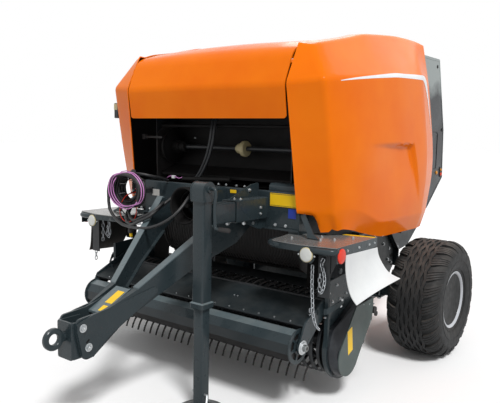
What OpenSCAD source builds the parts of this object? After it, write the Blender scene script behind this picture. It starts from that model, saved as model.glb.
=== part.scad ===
// Towed round baler with a tined pickup, standing on its two wheels and its parking jack.
// Millimetres, +Z up. +Y runs to the rear, +X to the machine's left. The origin is on the ground,
// under the middle of the machine's length; the wheel axle lies axle_y behind it.

/* [Wheels] */
// Radius of a tyre over its lugs
tyre_r = 437; // [410:1:450]
// Width of a tyre
tyre_w = 404; // [360:2:420]
// Radius of the rim where the tyre seats
bead_r = 200; // [185:1:215]
// Distance between the wheel centres
track_w = 2200; // [2160:2:2300]
// Height of a tyre lug
lug_h = 22; // [14:1:26]

/* [Bale chamber] */
// Clear width of the bale chamber
chamber_w = 1240; // [1200:5:1250]
// Radius of the bale chamber
chamber_r = 760; // [700:5:770]
// Height of the chamber centre
chamber_z = 1450; // [1440:5:1470]
// Thickness of the chamber's side walls
wall_t = 8; // [5:1:10]
// Height of the tailgate hinge
gate_hinge_z = 2330; // [2310:5:2350]
// Distance of the tailgate's rear edge behind the axle
gate_reach = 1068; // [1040:2:1100]

/* [Drawbar and jack] */
// Distance of the towing eye's front behind which the whole machine lies, from the axle
hitch_reach = 2662; // [2600:2:2720]
// Height of the towing eye
hitch_z = 530; // [500:5:560]
// Radius of the hole in the towing eye
eye_hole_r = 30; // [20:1:34]
// Width of one drawbar rail
rail_w = 50; // [40:1:80]
// Width of the jack's outer tube
jack_tube_w = 82; // [76:1:90]
// Width of the jack's inner leg
jack_leg_w = 68; // [56:1:70]
// Radius of the jack's foot
foot_r = 150; // [110:2:160]

/* [Pickup] */
// Width of the pickup between its side plates
pickup_w = 1910; // [1880:5:1920]
// Radius that the tine tips sweep
tine_tip_r = 300; // [270:2:300]
// Outer radius of the stripper bands
band_r = 205; // [190:1:215]
// Distance between neighbouring tines
tine_pitch = 66; // [60:1:75]
// Radius of the windguard roller's end discs
guard_disc_r = 105; // [95:1:108]

/* [Bodywork] */
// Width of the front hood
hood_w = 1376; // [1360:2:1380]
// Gap between the hood and each side panel
hood_gap = 12; // [8:1:16]
// Thickness of the hood and side panels
skin_t = 10; // [6:1:14]

/* [Hidden] */

// The machine is centred on its length, so the axle's place follows from both ends.
axle_y = (hitch_reach - gate_reach) / 2;
wheel_x = track_w / 2;
wheel_z = tyre_r;

frame_col = [0.23, 0.27, 0.30];
dark_col = [0.12, 0.13, 0.14];
orange_col = [0.93, 0.45, 0.12];
steel_col = [0.72, 0.74, 0.76];

// ---- Shared shapes -------------------------------------------------------------------------

module at_axle() translate([0, axle_y, 0]) children();

module both_sides() {
    children();
    mirror([1, 0, 0]) children();
}

// A plate that lies in a Y-Z plane, with its lower X face at x and thickness t.
module side_plate(x, t, outline) translate([x, 0, 0]) rotate([90, 0, 90]) linear_extrude(t) polygon(outline);

// A round bar along X from x0 to x1.
module bar_x(x0, x1, y, z, r, sides = 32)
    translate([x0, y, z]) rotate([0, 90, 0]) cylinder(h = x1 - x0, r = r, $fn = sides);

// A round bar along Y from y0 to y1.
module bar_y(y0, y1, x, z, r, sides = 32)
    translate([x, y0, z]) rotate([-90, 0, 0]) cylinder(h = y1 - y0, r = r, $fn = sides);

// Points of an arc in a plane, from angle a0 to a1 in n steps.
function arc(c, r, a0, a1, n) = [for (i = [0:n]) c + r * [cos(a0 + (a1 - a0) * i / n), sin(a0 + (a1 - a0) * i / n)]];

function unit(v) = v / norm(v);
function left_of(v) = [-v[1], v[0]];
// The path moved sideways by d, to the left of its direction for a positive d.
function moved_path(p, d) = [for (i = [0:len(p) - 1])
    let (a = unit(p[min(i + 1, len(p) - 1)] - p[min(i, len(p) - 2)]),
         b = unit(p[max(i, 1)] - p[max(i - 1, 0)]),
         m = unit(left_of(a) + left_of(b)))
    p[i] + m * d / (m * left_of(a))];
// A closed outline moved inwards by d; its points run clockwise.
function moved_loop(p, d) = [for (i = [0:len(p) - 1])
    let (a = unit(p[(i + 1) % len(p)] - p[i]), b = unit(p[i] - p[(i + len(p) - 1) % len(p)]), m = unit(left_of(a) + left_of(b)))
    p[i] - m * d / (m * left_of(a))];
// A closed outline of a strip of thickness t along a path.
function strip(p, t) = concat(p, [for (i = [len(p) - 1:-1:0]) moved_path(p, t)[i]]);

// ---- Wheels --------------------------------------------------------------------------------

rim_w = tyre_w * 0.82;
crown_w = 192;
lug_count = 22;
// Shares of the pitch between lugs at which one starts and ends, and at which the gap starts and ends
lug_steps = [0, 0.5, 0.56, 0.94];
bore_r = bead_r / cos(lug_steps[1] * 180 / lug_count);

// Half of the tyre's section from bead to crown: radius and place across on a lug, the same two in a gap,
// sweep of the lug in degrees, and 1 where the other side's lugs stand half a pitch further on
tyre_half = [
    [bore_r, rim_w / 2, bore_r, rim_w / 2, 0, 0],
    [bead_r + 18, rim_w / 2, bead_r + 18, rim_w / 2, 0, 0],
    [bead_r + 52, tyre_w / 2 - 9, bead_r + 52, tyre_w / 2 - 9, 7.5, 1],
    [tyre_r - 76, tyre_w / 2, tyre_r - 78, tyre_w / 2 - 12, 7.5, 1],
    [tyre_r - 24, tyre_w / 2 - 24, tyre_r - 42, tyre_w / 2 - 36, 5, 1],
    [tyre_r - 4, crown_w / 2 + 34, tyre_r - lug_h, crown_w / 2 + 28, 2.5, 1],
    [tyre_r, crown_w / 2, tyre_r, crown_w / 2, 0, 1]];

function wheel_point(r, x, a) = [x, r * sin(a), -r * cos(a)];
function tyre_row(k) = let (on = k % 4 < 2, turn = (floor(k / 4) + lug_steps[k % 4]) * 360 / lug_count) concat(
    [for (p = tyre_half) wheel_point(on ? p[0] : p[2], on ? p[1] : p[3], turn - p[4])],
    [for (i = [len(tyre_half) - 1:-1:0]) let (p = tyre_half[i])
        wheel_point(on ? p[0] : p[2], on ? -p[1] : -p[3], turn - p[4] + p[5] * 180 / lug_count)]);
module tyre() {
    rows = 4 * lug_count;
    cols = 2 * len(tyre_half);
    polyhedron([for (k = [0:rows - 1]) for (p = tyre_row(k)) p], [
        for (k = [0:rows - 1]) for (j = [0:cols - 1])
            let (a = k * cols, b = (k + 1) % rows * cols, m = (j + 1) % cols) for (f = [[a + j, b + j, b + m], [a + j, b + m, a + m]]) f]);
}

flange_h = 15;
flange_t = 8;
barrel_t = 8;
bead_gap = 0.4;
hub_r = 72;
axle_r = 30;
module rim() rotate([0, 90, 0]) rotate_extrude($fn = 96) polygon([
    [axle_r + bead_gap, -70], [hub_r, -70], [hub_r, -12], [bead_r - barrel_t, -12],
    [bead_r - barrel_t, -rim_w / 2 - flange_t], [bead_r + flange_h, -rim_w / 2 - flange_t],
    [bead_r + flange_h, -rim_w / 2 - bead_gap], [bead_r - bead_gap, -rim_w / 2 - bead_gap],
    [bead_r - bead_gap, rim_w / 2 + bead_gap], [bead_r + flange_h, rim_w / 2 + bead_gap],
    [bead_r + flange_h, rim_w / 2 + flange_t], [bead_r - barrel_t, rim_w / 2 + flange_t],
    [bead_r - barrel_t, 0], [hub_r + 14, 0], [hub_r, 60], [axle_r + bead_gap, 60]]);

module wheel_at(side) translate([side * wheel_x, 0, wheel_z]) mirror([side < 0 ? 1 : 0, 0, 0]) children();

// ---- Hitch and drawbar ---------------------------------------------------------------------

beam_y = -1340;
beam_z = 1050;
beam_h = 245;
beam_half = 740;
eye_y = 62 - hitch_reach;
shank_r = 22;
// Radial clearance of a pin or shaft in its bore
pivot_gap = 0.3;

module towing_eye() color(frame_col) translate([0, eye_y, hitch_z]) {
    difference() {
        union() {
            bar_x(-16, 16, 0, 0, 62, 48);
            translate([-16, 0, -22]) cube([32, 70, 44]);
            bar_y(60, 110, 0, 0, shank_r, 32);
            bar_y(84 + pivot_gap, 108, 0, 0, 34, 6);
        }
        bar_x(-20, 20, 0, 0, eye_hole_r, 48);
    }
}

head_y = eye_y + 70;
module hitch_head() color(frame_col) {
    difference() {
        translate([-head_half, head_y + 1, hitch_z - 130]) cube([2 * head_half, 150, 212]);
        translate([-50, head_y + 14, hitch_z - 140]) cube([100, 150, 232]);
        bar_y(head_y, head_y + 20, 0, hitch_z, shank_r + pivot_gap, 32);
    }
}

plate_t = 14;
head_half = 63;
rail_out = 360;
// Rail slices from the eye to the beam: y, inner x, width, bottom z, height
rail_stations = [
    [eye_y + 300, head_half + plate_t, 4, hitch_z - 30, 128],
    [eye_y + 495, head_half + plate_t + 4, rail_w * 0.85, hitch_z + 30, 170],
    [-1484, rail_out - rail_w, rail_w, 930, 270],
    [beam_y - 4, rail_out - rail_w, rail_w, 1060, 90]];
module rail_slice(s) translate([s[1], s[0], s[3]]) cube([s[2], 4, s[4]]);
module drawbar() color(frame_col) {
    both_sides() {
        translate([0, eye_y, hitch_z]) side_plate(head_half, plate_t, [
            [100, 98], [88, 30], [120, -110], [150, -142], [205, -138], [400, -10], [590, 102],
            [600, 142], [570, 174], [510, 176], [270, 110]]);
        for (i = [0:len(rail_stations) - 2]) hull() {
            rail_slice(rail_stations[i]);
            rail_slice(rail_stations[i + 1]);
        }
    }
    // plate over the front of both rails
    translate([0, eye_y, hitch_z]) side_plate(-head_half, 2 * head_half, [[282, 78], [488, 182], [488, 192], [282, 90]]);
}

// ---- Front beam, gearbox and jack ----------------------------------------------------------

module cross_beam() color(frame_col) {
    difference() {
        translate([-beam_half, beam_y, beam_z]) cube([2 * beam_half, 120, beam_h]);
        translate([-beam_half - 1, beam_y + 8, beam_z + 8]) cube([2 * beam_half + 2, 104, beam_h - 16]);
    }
    // the arm that carries the jack, and the sleeve that it slides in
    translate([jack_x - 50, jack_y + jack_tube_w / 2, 1122]) cube([100, beam_y - jack_y - jack_tube_w / 2, 118]);
    translate([jack_x - 58, jack_sleeve_y, 1114]) cube([116, beam_y - jack_sleeve_y, 136]);
}

module gearbox() color(frame_col) {
    difference() {
        union() {
            translate([-120, beam_y - 100, 1060]) cube([240, 100, 220]);
            bar_y(beam_y - 260, beam_y - 90, 0, 1170, 112, 48);
        }
        bar_y(beam_y - 270, beam_y - 106, 0, 1170, 104, 48);
        bar_y(beam_y - 110, beam_y - 50, 0, 1170, input_r + 5 + pivot_gap, 32);
    }
}

input_r = 17.5;
module input_shaft() color(steel_col) {
    bar_y(beam_y - 230, beam_y - 130, 0, 1170, input_r, 32);
    bar_y(beam_y - 130, beam_y - 50 - pivot_gap, 0, 1170, input_r + 5, 32);
}

jack_x = 442;
jack_y = -1900;
jack_sleeve_y = -1660;
collar_z = 630;
module jack_tube() color(frame_col) {
    translate([jack_x, jack_y, 0]) difference() {
        union() {
            translate([-jack_tube_w / 2, -jack_tube_w / 2, collar_z]) cube([jack_tube_w, jack_tube_w, 640]);
            translate([-50, -50, collar_z]) cube([100, 100, 40]);
            translate([-50, -52, 1265]) cube([100, 104, 60]);
            bar_x(-50, 50, 0, 1324, 52, 48);
        }
        translate([-jack_leg_w / 2 - pivot_gap, -jack_leg_w / 2 - pivot_gap, collar_z - 1])
            cube([jack_leg_w + 2 * pivot_gap, jack_leg_w + 2 * pivot_gap, 600]);
    }
    // crank
    bar_x(jack_x + 50, jack_x + 96, jack_y, 1340, 9);
    translate([jack_x + 92, jack_y, 1112]) cylinder(h = 232, r = 8, $fn = 24);
    bar_x(jack_x + 92, jack_x + 200, jack_y, 1112, 14);
}

module jack_leg() color(frame_col) translate([jack_x, jack_y, 0]) {
    translate([-jack_leg_w / 2, -jack_leg_w / 2, 48]) cube([jack_leg_w, jack_leg_w, 760]);
    rotate_extrude($fn = 64) polygon([[0, 0], [foot_r - 30, 0], [foot_r, 6], [foot_r, 12], [60, 48], [0, 48]]);
}

// ---- Chamber, walls and roof ---------------------------------------------------------------

chamber_y = 120;
wall_x = chamber_w / 2;
split_y = chamber_y;
// Top of the roof from front to rear
roof_path = [[-534, 2322], [-200, 2326], [split_y - 20, 2328]];
wall_outline = concat([
    [split_y - 4, 640], [-420, 560], [-760, 640], [-1000, 980], [beam_y + 121, 1050], [beam_y + 121, 1294],
    [-1240, 1420], [-1250, 2080], [-1180, 2180], [-620, 2296], [-580, 2308], [-540, 2308]],
    moved_path(roof_path, -skin_t), [[split_y - 20, 2200], [split_y - 4, 2190]]);
gate_y = split_y + 8;
panel_hinge_ys = [-420, 20];
panel_hinge_x = hood_w / 2 + 26;
panel_hinge_z = 2326;
panel_pin_r = 7;

module side_wall() color(dark_col) {
    difference() {
        side_plate(wall_x, wall_t, wall_outline);
        bar_x(wall_x - 1, wall_x + wall_t + 1, pivot_y, pivot_z, pivot_pin_r + pivot_gap);
    }
    // tailgate hinge ear with its pin, and the foot pin of the tailgate cylinder
    side_plate(wall_x + wall_t, 12, concat([[50, 2160], [50, 2020], [112, 2020]],
        arc([gate_y, gate_hinge_z], 28, -40, 150, 8), [[102, 2200]]));
    bar_x(wall_x + wall_t, wall_x + wall_t + 40, gate_y, gate_hinge_z, 15);
    bar_x(wall_x + wall_t, cyl_x + 24, ram_foot[0], ram_foot[1], 16);
    // side panel hinge arms with their pins
    for (y = panel_hinge_ys) {
        translate([wall_x + wall_t, y, 2290]) cube([panel_hinge_x - wall_x - wall_t, 20, 20]);
        translate([panel_hinge_x - 8, y, 2290]) cube([16, 20, panel_hinge_z - 2290]);
        bar_y(y - 14, y + 34, panel_hinge_x, panel_hinge_z, panel_pin_r, 24);
    }
    // end plate that closes the beam and carries the step
    side_plate(wall_x + wall_t, 30, [[-1218, 1050], [-900, 1050], [-900, 1290], [-1218, 1290]]);
}

module front_wall() color(dark_col) side_plate(-wall_x, chamber_w,
    strip(arc([chamber_y, chamber_z], chamber_r + 12, 100, 212, 20), -8));

hood_hinge_y = -560;
hood_hinge_z = 2308;
hood_pin_r = 8;
hood_lug_x = 520;
module roof() color(orange_col) {
    side_plate(6 - hood_w / 2, hood_w - 12, strip(roof_path, -skin_t));
    bar_x(-wall_x, wall_x, hood_hinge_y, hood_hinge_z, hood_pin_r);
}

spindle_y = -1130;
spindle_z = 1545;
module net_spindle() color(dark_col) {
    bar_x(-wall_x + pivot_gap, wall_x - pivot_gap, spindle_y, spindle_z, 16, 32);
    bar_x(-560, -536, spindle_y, spindle_z, 130, 64);
    translate([70, spindle_y, spindle_z]) rotate([0, 90, 0]) cylinder(h = 90, r1 = 25, r2 = 62, $fn = 48);
}

axle_w = 100;
module axle() color(frame_col) {
    translate([-880, -axle_w / 2, wheel_z - axle_w / 2]) cube([1760, axle_w, axle_w]);
    both_sides() {
        bar_x(880, wheel_x + 40, 0, wheel_z, axle_r, 48);
        side_plate(wall_x + wall_t, 14, [[-430, 640], [-300, 380], [-axle_w / 2, 340], [axle_w / 2, 340],
            [300, 560], [300, 700], [100, 900], [-430, 900]]);
    }
}

// ---- Steps, mudflaps and what hangs from them ----------------------------------------------

step_z = 1030;
step_out = 1133;
module step_side() color(frame_col) {
    translate([0, 0, step_z - 6]) linear_extrude(6) polygon([
        [wall_x + 40, -1400], [705, -1578], [905, -1600], [step_out, -1560], [step_out, -1059], [860, -1180], [wall_x + 40, -1200]]);
    translate([step_out - 6, -1555, step_z - 60]) cube([6, 492, 54]);
    translate([wall_x + 40, -1450, step_z - 62]) cube([440, 60, 56]);
    translate([wall_x + 39, -1560, step_z - 62]) cube([8, 500, 56]);
    translate([wall_x + 40, beam_y, step_z - 6]) cube([80, 120, beam_z - step_z + 6]);
}

flap_t = 4;
module mudflap() color([0.85, 0.85, 0.85]) translate([0, -1440, 0]) rotate([-90, 0, 0]) linear_extrude(400)
    polygon(strip([[step_out + flap_t + 0.3, -1000], [step_out + flap_t + 1, -960], [1146, -880], [1168, -790], [1222, -700]], flap_t));

module reflectors() color([0.9, 0.9, 0.9]) both_sides() {
    bar_y(-1592, -1580, 955, 975, 46, 48);
    translate([905, -1580, 955]) cube([100, 6, step_z - 6 - 955]);
}

chain_low_z = 570;
chain_x = 985;
chain_y = -1480;
link_l = 62;
link_w = 30;
link_t = 8;
link_count = floor((step_z - 6 - chain_low_z) / (link_l - link_t));
module chain_link() difference() {
    translate([-link_w / 2, -link_t / 2, 0]) cube([link_w, link_t, link_l]);
    translate([link_t - link_w / 2, -link_t, link_t]) cube([link_w - 2 * link_t, 2 * link_t, link_l - 2 * link_t]);
}
module chains() color(steel_col) both_sides() for (i = [0:link_count - 1])
    translate([chain_x, chain_y, step_z - 6 - link_l - i * (link_l - link_t)]) rotate([0, 0, i % 2 * 90]) chain_link();

// ---- Pickup --------------------------------------------------------------------------------

reel_y = -1160;
reel_z = 345;
pivot_y = -600;
pivot_z = 660;
pivot_pin_r = 20;
guard_pin_r = 18;
guard_shaft_r = 20;
pickup_x = pickup_w / 2;
bar_count = 4;
tine_margin = 130;
tine_count = floor((pickup_w - 2 * tine_margin) / tine_pitch) + 1;
tine_r = 3.5;

// Fingers on each side of the middle one
finger_count = floor((wall_x - 12) / tine_pitch);
module feed_fingers() color(dark_col) {
    for (i = [-finger_count:finger_count]) side_plate(i * tine_pitch - 5, 10, strip(arc([-1010, 1010], 210, 272, 345, 6), 14));
    bar_x(-wall_x, wall_x, -794, 960, 14);
}

module pickup_frame() color(frame_col) both_sides() {
    difference() {
        side_plate(pickup_x, 12, concat([[-1000, 800], [-1370, 770]], arc([reel_y, reel_z], band_r + 15, 160, 285, 12),
            [[-840, 260], [-750, 470], [-750, 560]]));
        bar_x(pickup_x - 1, pickup_x + 13, hinge_y, hinge_z, guard_pin_r + pivot_gap);
    }
    side_plate(pickup_x + 12, 70, concat([[-860, 590], [-1040, 600]], arc([reel_y, reel_z], band_r, 140, 290, 12),
        [[-820, 400], [-780, 500]]));
    // rear cross tube and pivot arms
    bar_x(0, pickup_x, -790, 520, 38, 32);
    side_plate(wall_x - 34, 16, [[pivot_y + 40, pivot_z - 30], [pivot_y + 30, pivot_z + 34], [pivot_y - 30, pivot_z + 34], [-830, 560], [-830, 480], [-760, 480]]);
    bar_x(wall_x - 34, wall_x + wall_t + 12, pivot_y, pivot_z, pivot_pin_r);
}

band_count = tine_count + 1;
module stripper_bands() color(dark_col) {
    for (i = [0:band_count - 1]) side_plate((i - (band_count - 1) / 2) * tine_pitch - 15, 30,
        strip(concat([[-840, 558]], arc([reel_y, reel_z], band_r, 88, 296, 16), [[-858, 268]]), 4));
    // rails that carry the bands, outside the tines' path
    translate([-pickup_x, -846, 546]) cube([pickup_w, 14, 8]);
    translate([-pickup_x, -862, 266]) cube([pickup_w, 14, 8]);
}

module pickup_reel() color(dark_col) {
    bar_x(-pickup_x + pivot_gap, pickup_x - pivot_gap, reel_y, reel_z, 45, 32);
    for (b = [0:bar_count - 1]) translate([0, reel_y, reel_z]) rotate([b * 90 + 38, 0, 0]) {
        bar_x(-pickup_x + 20, pickup_x - 20, 0, -130, 14, 16);
        for (x = [-pickup_x + 24, -8, pickup_x - 40]) translate([x, -20, -130]) cube([16, 40, 100]);
        for (i = [0:tine_count - 1]) translate([(i - (tine_count - 1) / 2) * tine_pitch, 0, -tine_tip_r])
            cylinder(h = tine_tip_r - 120, r = tine_r, $fn = 6);
    }
}

guard_y = -1592;
guard_z = 429;
hinge_y = -1100;
hinge_z = 740;
arm_x = pickup_x - 20;
module windguard() color(frame_col) {
    side_plate(-arm_x, 2 * arm_x, strip([[-1570, 548], [-1550, 556], [-1300, 634]], 5));
    both_sides() difference() {
        side_plate(arm_x, 12, [[guard_y - 30, guard_z - 30], [guard_y + 30, guard_z - 34], [-1420, 520], [-1280, 600],
            [hinge_y + 30, hinge_z - 20], [hinge_y + 20, hinge_z + 28], [hinge_y - 40, hinge_z + 24],
            [-1320, 680], [-1560, 570], [guard_y - 40, guard_z + 10]]);
        bar_x(arm_x - 1, arm_x + 13, guard_y, guard_z, guard_shaft_r + pivot_gap);
    }
    both_sides() bar_x(arm_x, pickup_x + 12, hinge_y, hinge_z, guard_pin_r);
}

module guard_roller() color(frame_col) {
    bar_x(-arm_x + 22, arm_x - 22, guard_y, guard_z, 96, 10);
    both_sides() bar_x(arm_x - 22, arm_x - 14, guard_y, guard_z, guard_disc_r, 48);
    both_sides() bar_x(arm_x - 14, arm_x + 44, guard_y, guard_z, guard_shaft_r, 32);
}

// ---- Bodywork ------------------------------------------------------------------------------

// Outer path of the hood, from its lower edge over the crease to the hinge at its rear.
hood_path = concat([[-1436, 1745]], arc([-1395, 1942], 70, 176, 152, 4), [[-1345, 2190]], arc([-1240, 2160], 110, 140, 96, 6),
    [[-560, 2330]]);
module hood() color(orange_col) {
    side_plate(-hood_w / 2, hood_w, strip(hood_path, -skin_t));
    both_sides() difference() {
        side_plate(hood_lug_x, 12, concat([[-640, 2318], [-640, 2302]], arc([hood_hinge_y, hood_hinge_z], 14, 240, 370, 6), [[-562, 2326]]));
        bar_x(hood_lug_x - 1, hood_lug_x + 13, hood_hinge_y, hood_hinge_z, hood_pin_r + pivot_gap);
    }
}

// Side panel stations from front to rear. Each x is measured outwards from the hood's side:
// y at the bottom, belly, crease and roof edge; x at the same four; setback of the inner edge; z of bottom, crease and roof edge
panel_stations = [
    [-1445, -1452, -1465, -1345,  92,  40,  12,  14,  0, 1165, 1950, 2200],
    [-1405, -1395, -1400, -1325, 205, 222, 222,  86,  0, 1172, 1966, 2212],
    [-1360, -1350, -1350, -1290, 212, 245, 245, 100,  0, 1060, 1970, 2226],
    [-1130, -1100, -1100, -1083, 267, 290, 272, 110,  0, 1070, 1998, 2266],
    [ -770,  -770,  -770,  -706, 282, 322, 287, 112,  0,  985, 2035, 2333],
    [ -330,  -330,  -330,  -208, 284, 325, 282, 112,  0,  955, 2068, 2390],
    [  -60,   -20,   -40,    20, 276, 305, 262, 112,  0,  945, 2085, 2402],
    [  -20,    60,     0,    60, 274, 300, 258, 112, 68,  945, 2088, 2402],
    [   20,   290,    90,   330, 272, 275, 240, 104, 68,  943, 2085, 2388]];
panel_top_z = 2350;

function panel_row(s) = let (side = hood_w / 2) [
    [side + s[4], s[0], s[9]], [side + s[5], s[1], (s[9] + s[10]) / 2 - 60], [side + s[6], s[2], s[10]],
    [side + s[7], s[3], s[11]], [side + hood_gap + s[8], s[3] + 10, min(s[11] + 8, panel_top_z)]];
panel_grid = [for (s = panel_stations) panel_row(s)];

// Normal of a grid of points at row i and column j, pointing to the outside.
function grid_normal(g, i, j) = let (
    a = g[min(i + 1, len(g) - 1)][j] - g[max(i - 1, 0)][j],
    b = g[i][min(j + 1, len(g[0]) - 1)] - g[i][max(j - 1, 0)]) unit(cross(a, b));

// A closed skin of thickness t under a grid of points.
module skin(g, t) {
    rows = len(g);
    cols = len(g[0]);
    top = [for (i = [0:rows - 1]) for (j = [0:cols - 1]) g[i][j]];
    low = [for (i = [0:rows - 1]) for (j = [0:cols - 1]) g[i][j] - t * grid_normal(g, i, j)];
    n = rows * cols;
    quads = [for (i = [0:rows - 2]) for (j = [0:cols - 2]) [i * cols + j, (i + 1) * cols + j, (i + 1) * cols + j + 1, i * cols + j + 1]];
    rim_loop = concat([for (j = [0:cols - 1]) j], [for (i = [1:rows - 1]) i * cols + cols - 1],
        [for (j = [cols - 2:-1:0]) (rows - 1) * cols + j], [for (i = [rows - 2:-1:1]) i * cols]);
    m = len(rim_loop);
    polyhedron(concat(top, low), concat(
        [for (q = quads) for (f = [[q[0], q[1], q[2]], [q[0], q[2], q[3]]]) [f[2], f[1], f[0]]],
        [for (q = quads) for (f = [[q[0], q[1], q[2]], [q[0], q[2], q[3]]]) [f[0] + n, f[1] + n, f[2] + n]],
        [for (k = [0:m - 1]) let (a = rim_loop[k], b = rim_loop[(k + 1) % m]) for (f = [[a, b, b + n], [a, b + n, a + n]]) [f[2], f[1], f[0]]]));
}

module side_panel() color(orange_col) {
    skin(panel_grid, skin_t);
    for (y = panel_hinge_ys) for (d = [-12, 21]) translate([0, y + d, 0]) difference() {
        union() {
            translate([panel_hinge_x - 10, 0, panel_hinge_z]) cube([20, 11, 16]);
            bar_y(0, 11, panel_hinge_x, panel_hinge_z, 13, 24);
        }
        bar_y(-1, 12, panel_hinge_x, panel_hinge_z, panel_pin_r + pivot_gap, 24);
    }
}

// ---- Tailgate and its cylinders ------------------------------------------------------------

gate_path = concat([[gate_y, gate_hinge_z - 40], [gate_y + 30, gate_hinge_z - 6], [700, gate_hinge_z - 10], [860, 2230], [985, 1960], [gate_reach - 20, 1600],
    [gate_reach - 20, 1250], [880, 860], [620, 690]], [[gate_y, 640]]);
module tailgate() color(orange_col) {
    side_plate(-wall_x, chamber_w, strip(gate_path, -8));
    both_sides() side_plate(wall_x, wall_t, gate_path);
}

cover_out = 750;
cover_outline = [[440, gate_hinge_z], [858, gate_hinge_z], [1040, 1716], [gate_reach, 1282],
    [733, 1030], [330, 860], [gate_y + 60, 860], [gate_y + 60, 2060]];
module tailgate_covers() color(dark_col) both_sides() {
    difference() {
        side_plate(wall_x + wall_t, cover_out - wall_x - wall_t, cover_outline);
        side_plate(wall_x + wall_t - 1, cover_out - wall_x - wall_t - 5, moved_loop(cover_outline, 6));
    }
    difference() {
        side_plate(wall_x + wall_t + 13, 14, concat([[gate_y + 62, 2050], [gate_y + 130, 2122]],
            arc([gate_y, gate_hinge_z], 28, 30, 230, 8)));
        bar_x(wall_x + wall_t, wall_x + wall_t + 40, gate_y, gate_hinge_z, 15 + pivot_gap);
    }
    // head boss of the tailgate cylinder
    bar_x(cover_out - 2, cyl_x - 20 - pivot_gap, ram_head[0], ram_head[1], 28);
}

module tail_lamps() color([0.8, 0.1, 0.08]) both_sides() translate([cover_out, 985, 1290]) cube([14, 50, 90]);

cyl_x = 800;
rod_r = 18;
ram_foot = [-250, 1000];
ram_head = [300, 1750];
ram_angle = atan2(ram_head[1] - ram_foot[1], ram_head[0] - ram_foot[0]);
ram_len = norm(ram_head - ram_foot);
module barrel() color(dark_col) {
    translate([cyl_x, ram_foot[0], ram_foot[1]]) rotate([ram_angle, 0, 0]) difference() {
        union() {
            bar_y(28, 740, 0, 0, 38, 32);
            bar_x(-20, 20, 0, 0, 32, 32);
        }
        bar_y(60, 741, 0, 0, rod_r + 0.4, 32);
        bar_x(-21, 21, 0, 0, 16.3, 32);
    }
}
module rod() color(steel_col) translate([cyl_x, ram_foot[0], ram_foot[1]]) rotate([ram_angle, 0, 0]) {
    bar_y(90, ram_len - 20, 0, 0, rod_r, 32);
    bar_x(-20, 20, ram_len, 0, 30, 32);
}

// ---- Hoses ---------------------------------------------------------------------------------

module hose_bracket() color(frame_col) {
    translate([-600, beam_y - 170, 1200]) cube([30, 170, 30]);
    translate([-600, beam_y - 170, 1200]) cube([30, 12, 120]);
}

module hose_coil() color(dark_col) translate([-585, beam_y - 205, 1235]) rotate([90, 0, 0])
    rotate_extrude($fn = 48) translate([115, 0]) circle(r = 32, $fn = 24);

// Route of the two hoses from the coil to the middle of the beam
loop_route = [[-575, -1545, 1118], [-520, -1640, 1050], [-400, -1705, 1012], [-310, -1715, 1045], [-220, -1690, 1090],
    [-212, -1600, 1145], [-210, -1510, 1190], [-204, -1455, 1212], [-184, -1412, 1225], [-150, -1388, 1228], [-120, -1388, 1228]];
function ring_at(p, d, r) = let (u = unit(cross(d, [0, 0, 1])), v = unit(cross(u, d))) [for (k = [0:7]) p + r * (cos(k * 45) * u + sin(k * 45) * v)];
module tube(route, r) {
    n = len(route);
    rings = [for (i = [0:n - 1]) ring_at(route[i], unit(route[min(i + 1, n - 1)] - route[max(i - 1, 0)]), r)];
    polyhedron([for (ring = rings) for (p = ring) p], concat(
        [[for (k = [0:7]) k]],
        [for (i = [0:n - 2]) for (k = [0:7]) [i * 8 + k, (i + 1) * 8 + k, (i + 1) * 8 + (k + 1) % 8, i * 8 + (k + 1) % 8]],
        [[for (k = [7:-1:0]) (n - 1) * 8 + k]]));
}
module hose_loop() color(dark_col) tube(loop_route, 11);

// ---- One line for each node ----------------------------------------------------------------

at_axle() drawbar();
at_axle() hitch_head();
at_axle() towing_eye();
at_axle() cross_beam();
at_axle() gearbox();
at_axle() input_shaft();
at_axle() jack_tube();
at_axle() jack_leg();
at_axle() side_wall();  // side_wall_left
at_axle() mirror([1, 0, 0]) side_wall();  // side_wall_right
at_axle() front_wall();
at_axle() roof();
at_axle() net_spindle();
at_axle() axle();
at_axle() wheel_at(1) color(dark_col) tyre();  // tyre_left
at_axle() wheel_at(-1) color(dark_col) tyre();  // tyre_right
at_axle() wheel_at(1) color(steel_col) rim();  // rim_left
at_axle() wheel_at(-1) color(steel_col) rim();  // rim_right
at_axle() step_side();  // step_left
at_axle() mirror([1, 0, 0]) step_side();  // step_right
at_axle() mudflap();  // mudflap_left
at_axle() mirror([1, 0, 0]) mudflap();  // mudflap_right
at_axle() reflectors();
at_axle() chains();
at_axle() feed_fingers();
at_axle() pickup_frame();
at_axle() stripper_bands();
at_axle() pickup_reel();
at_axle() windguard();
at_axle() guard_roller();
at_axle() hood();
at_axle() side_panel();  // side_panel_left
at_axle() mirror([1, 0, 0]) side_panel();  // side_panel_right
at_axle() tailgate();
at_axle() tailgate_covers();
at_axle() tail_lamps();
at_axle() barrel();  // barrel_left
at_axle() mirror([1, 0, 0]) barrel();  // barrel_right
at_axle() rod();  // rod_left
at_axle() mirror([1, 0, 0]) rod();  // rod_right
at_axle() hose_bracket();
at_axle() hose_coil();
at_axle() hose_loop();
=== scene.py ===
"""Looks of the towed round baler: every finish, and the pieces that stand for the plain solids.

Lengths in this file are millimetres from the wheel axle, +X to the machine's left, +Y to the rear and
+Z up from the ground. place() turns them into the row frame's metres.
"""

from math import atan2, cos, pi, radians, sin, sqrt

import bmesh
import bpy
from mathutils import Matrix, Vector
from mathutils.bvhtree import BVHTree


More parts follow.
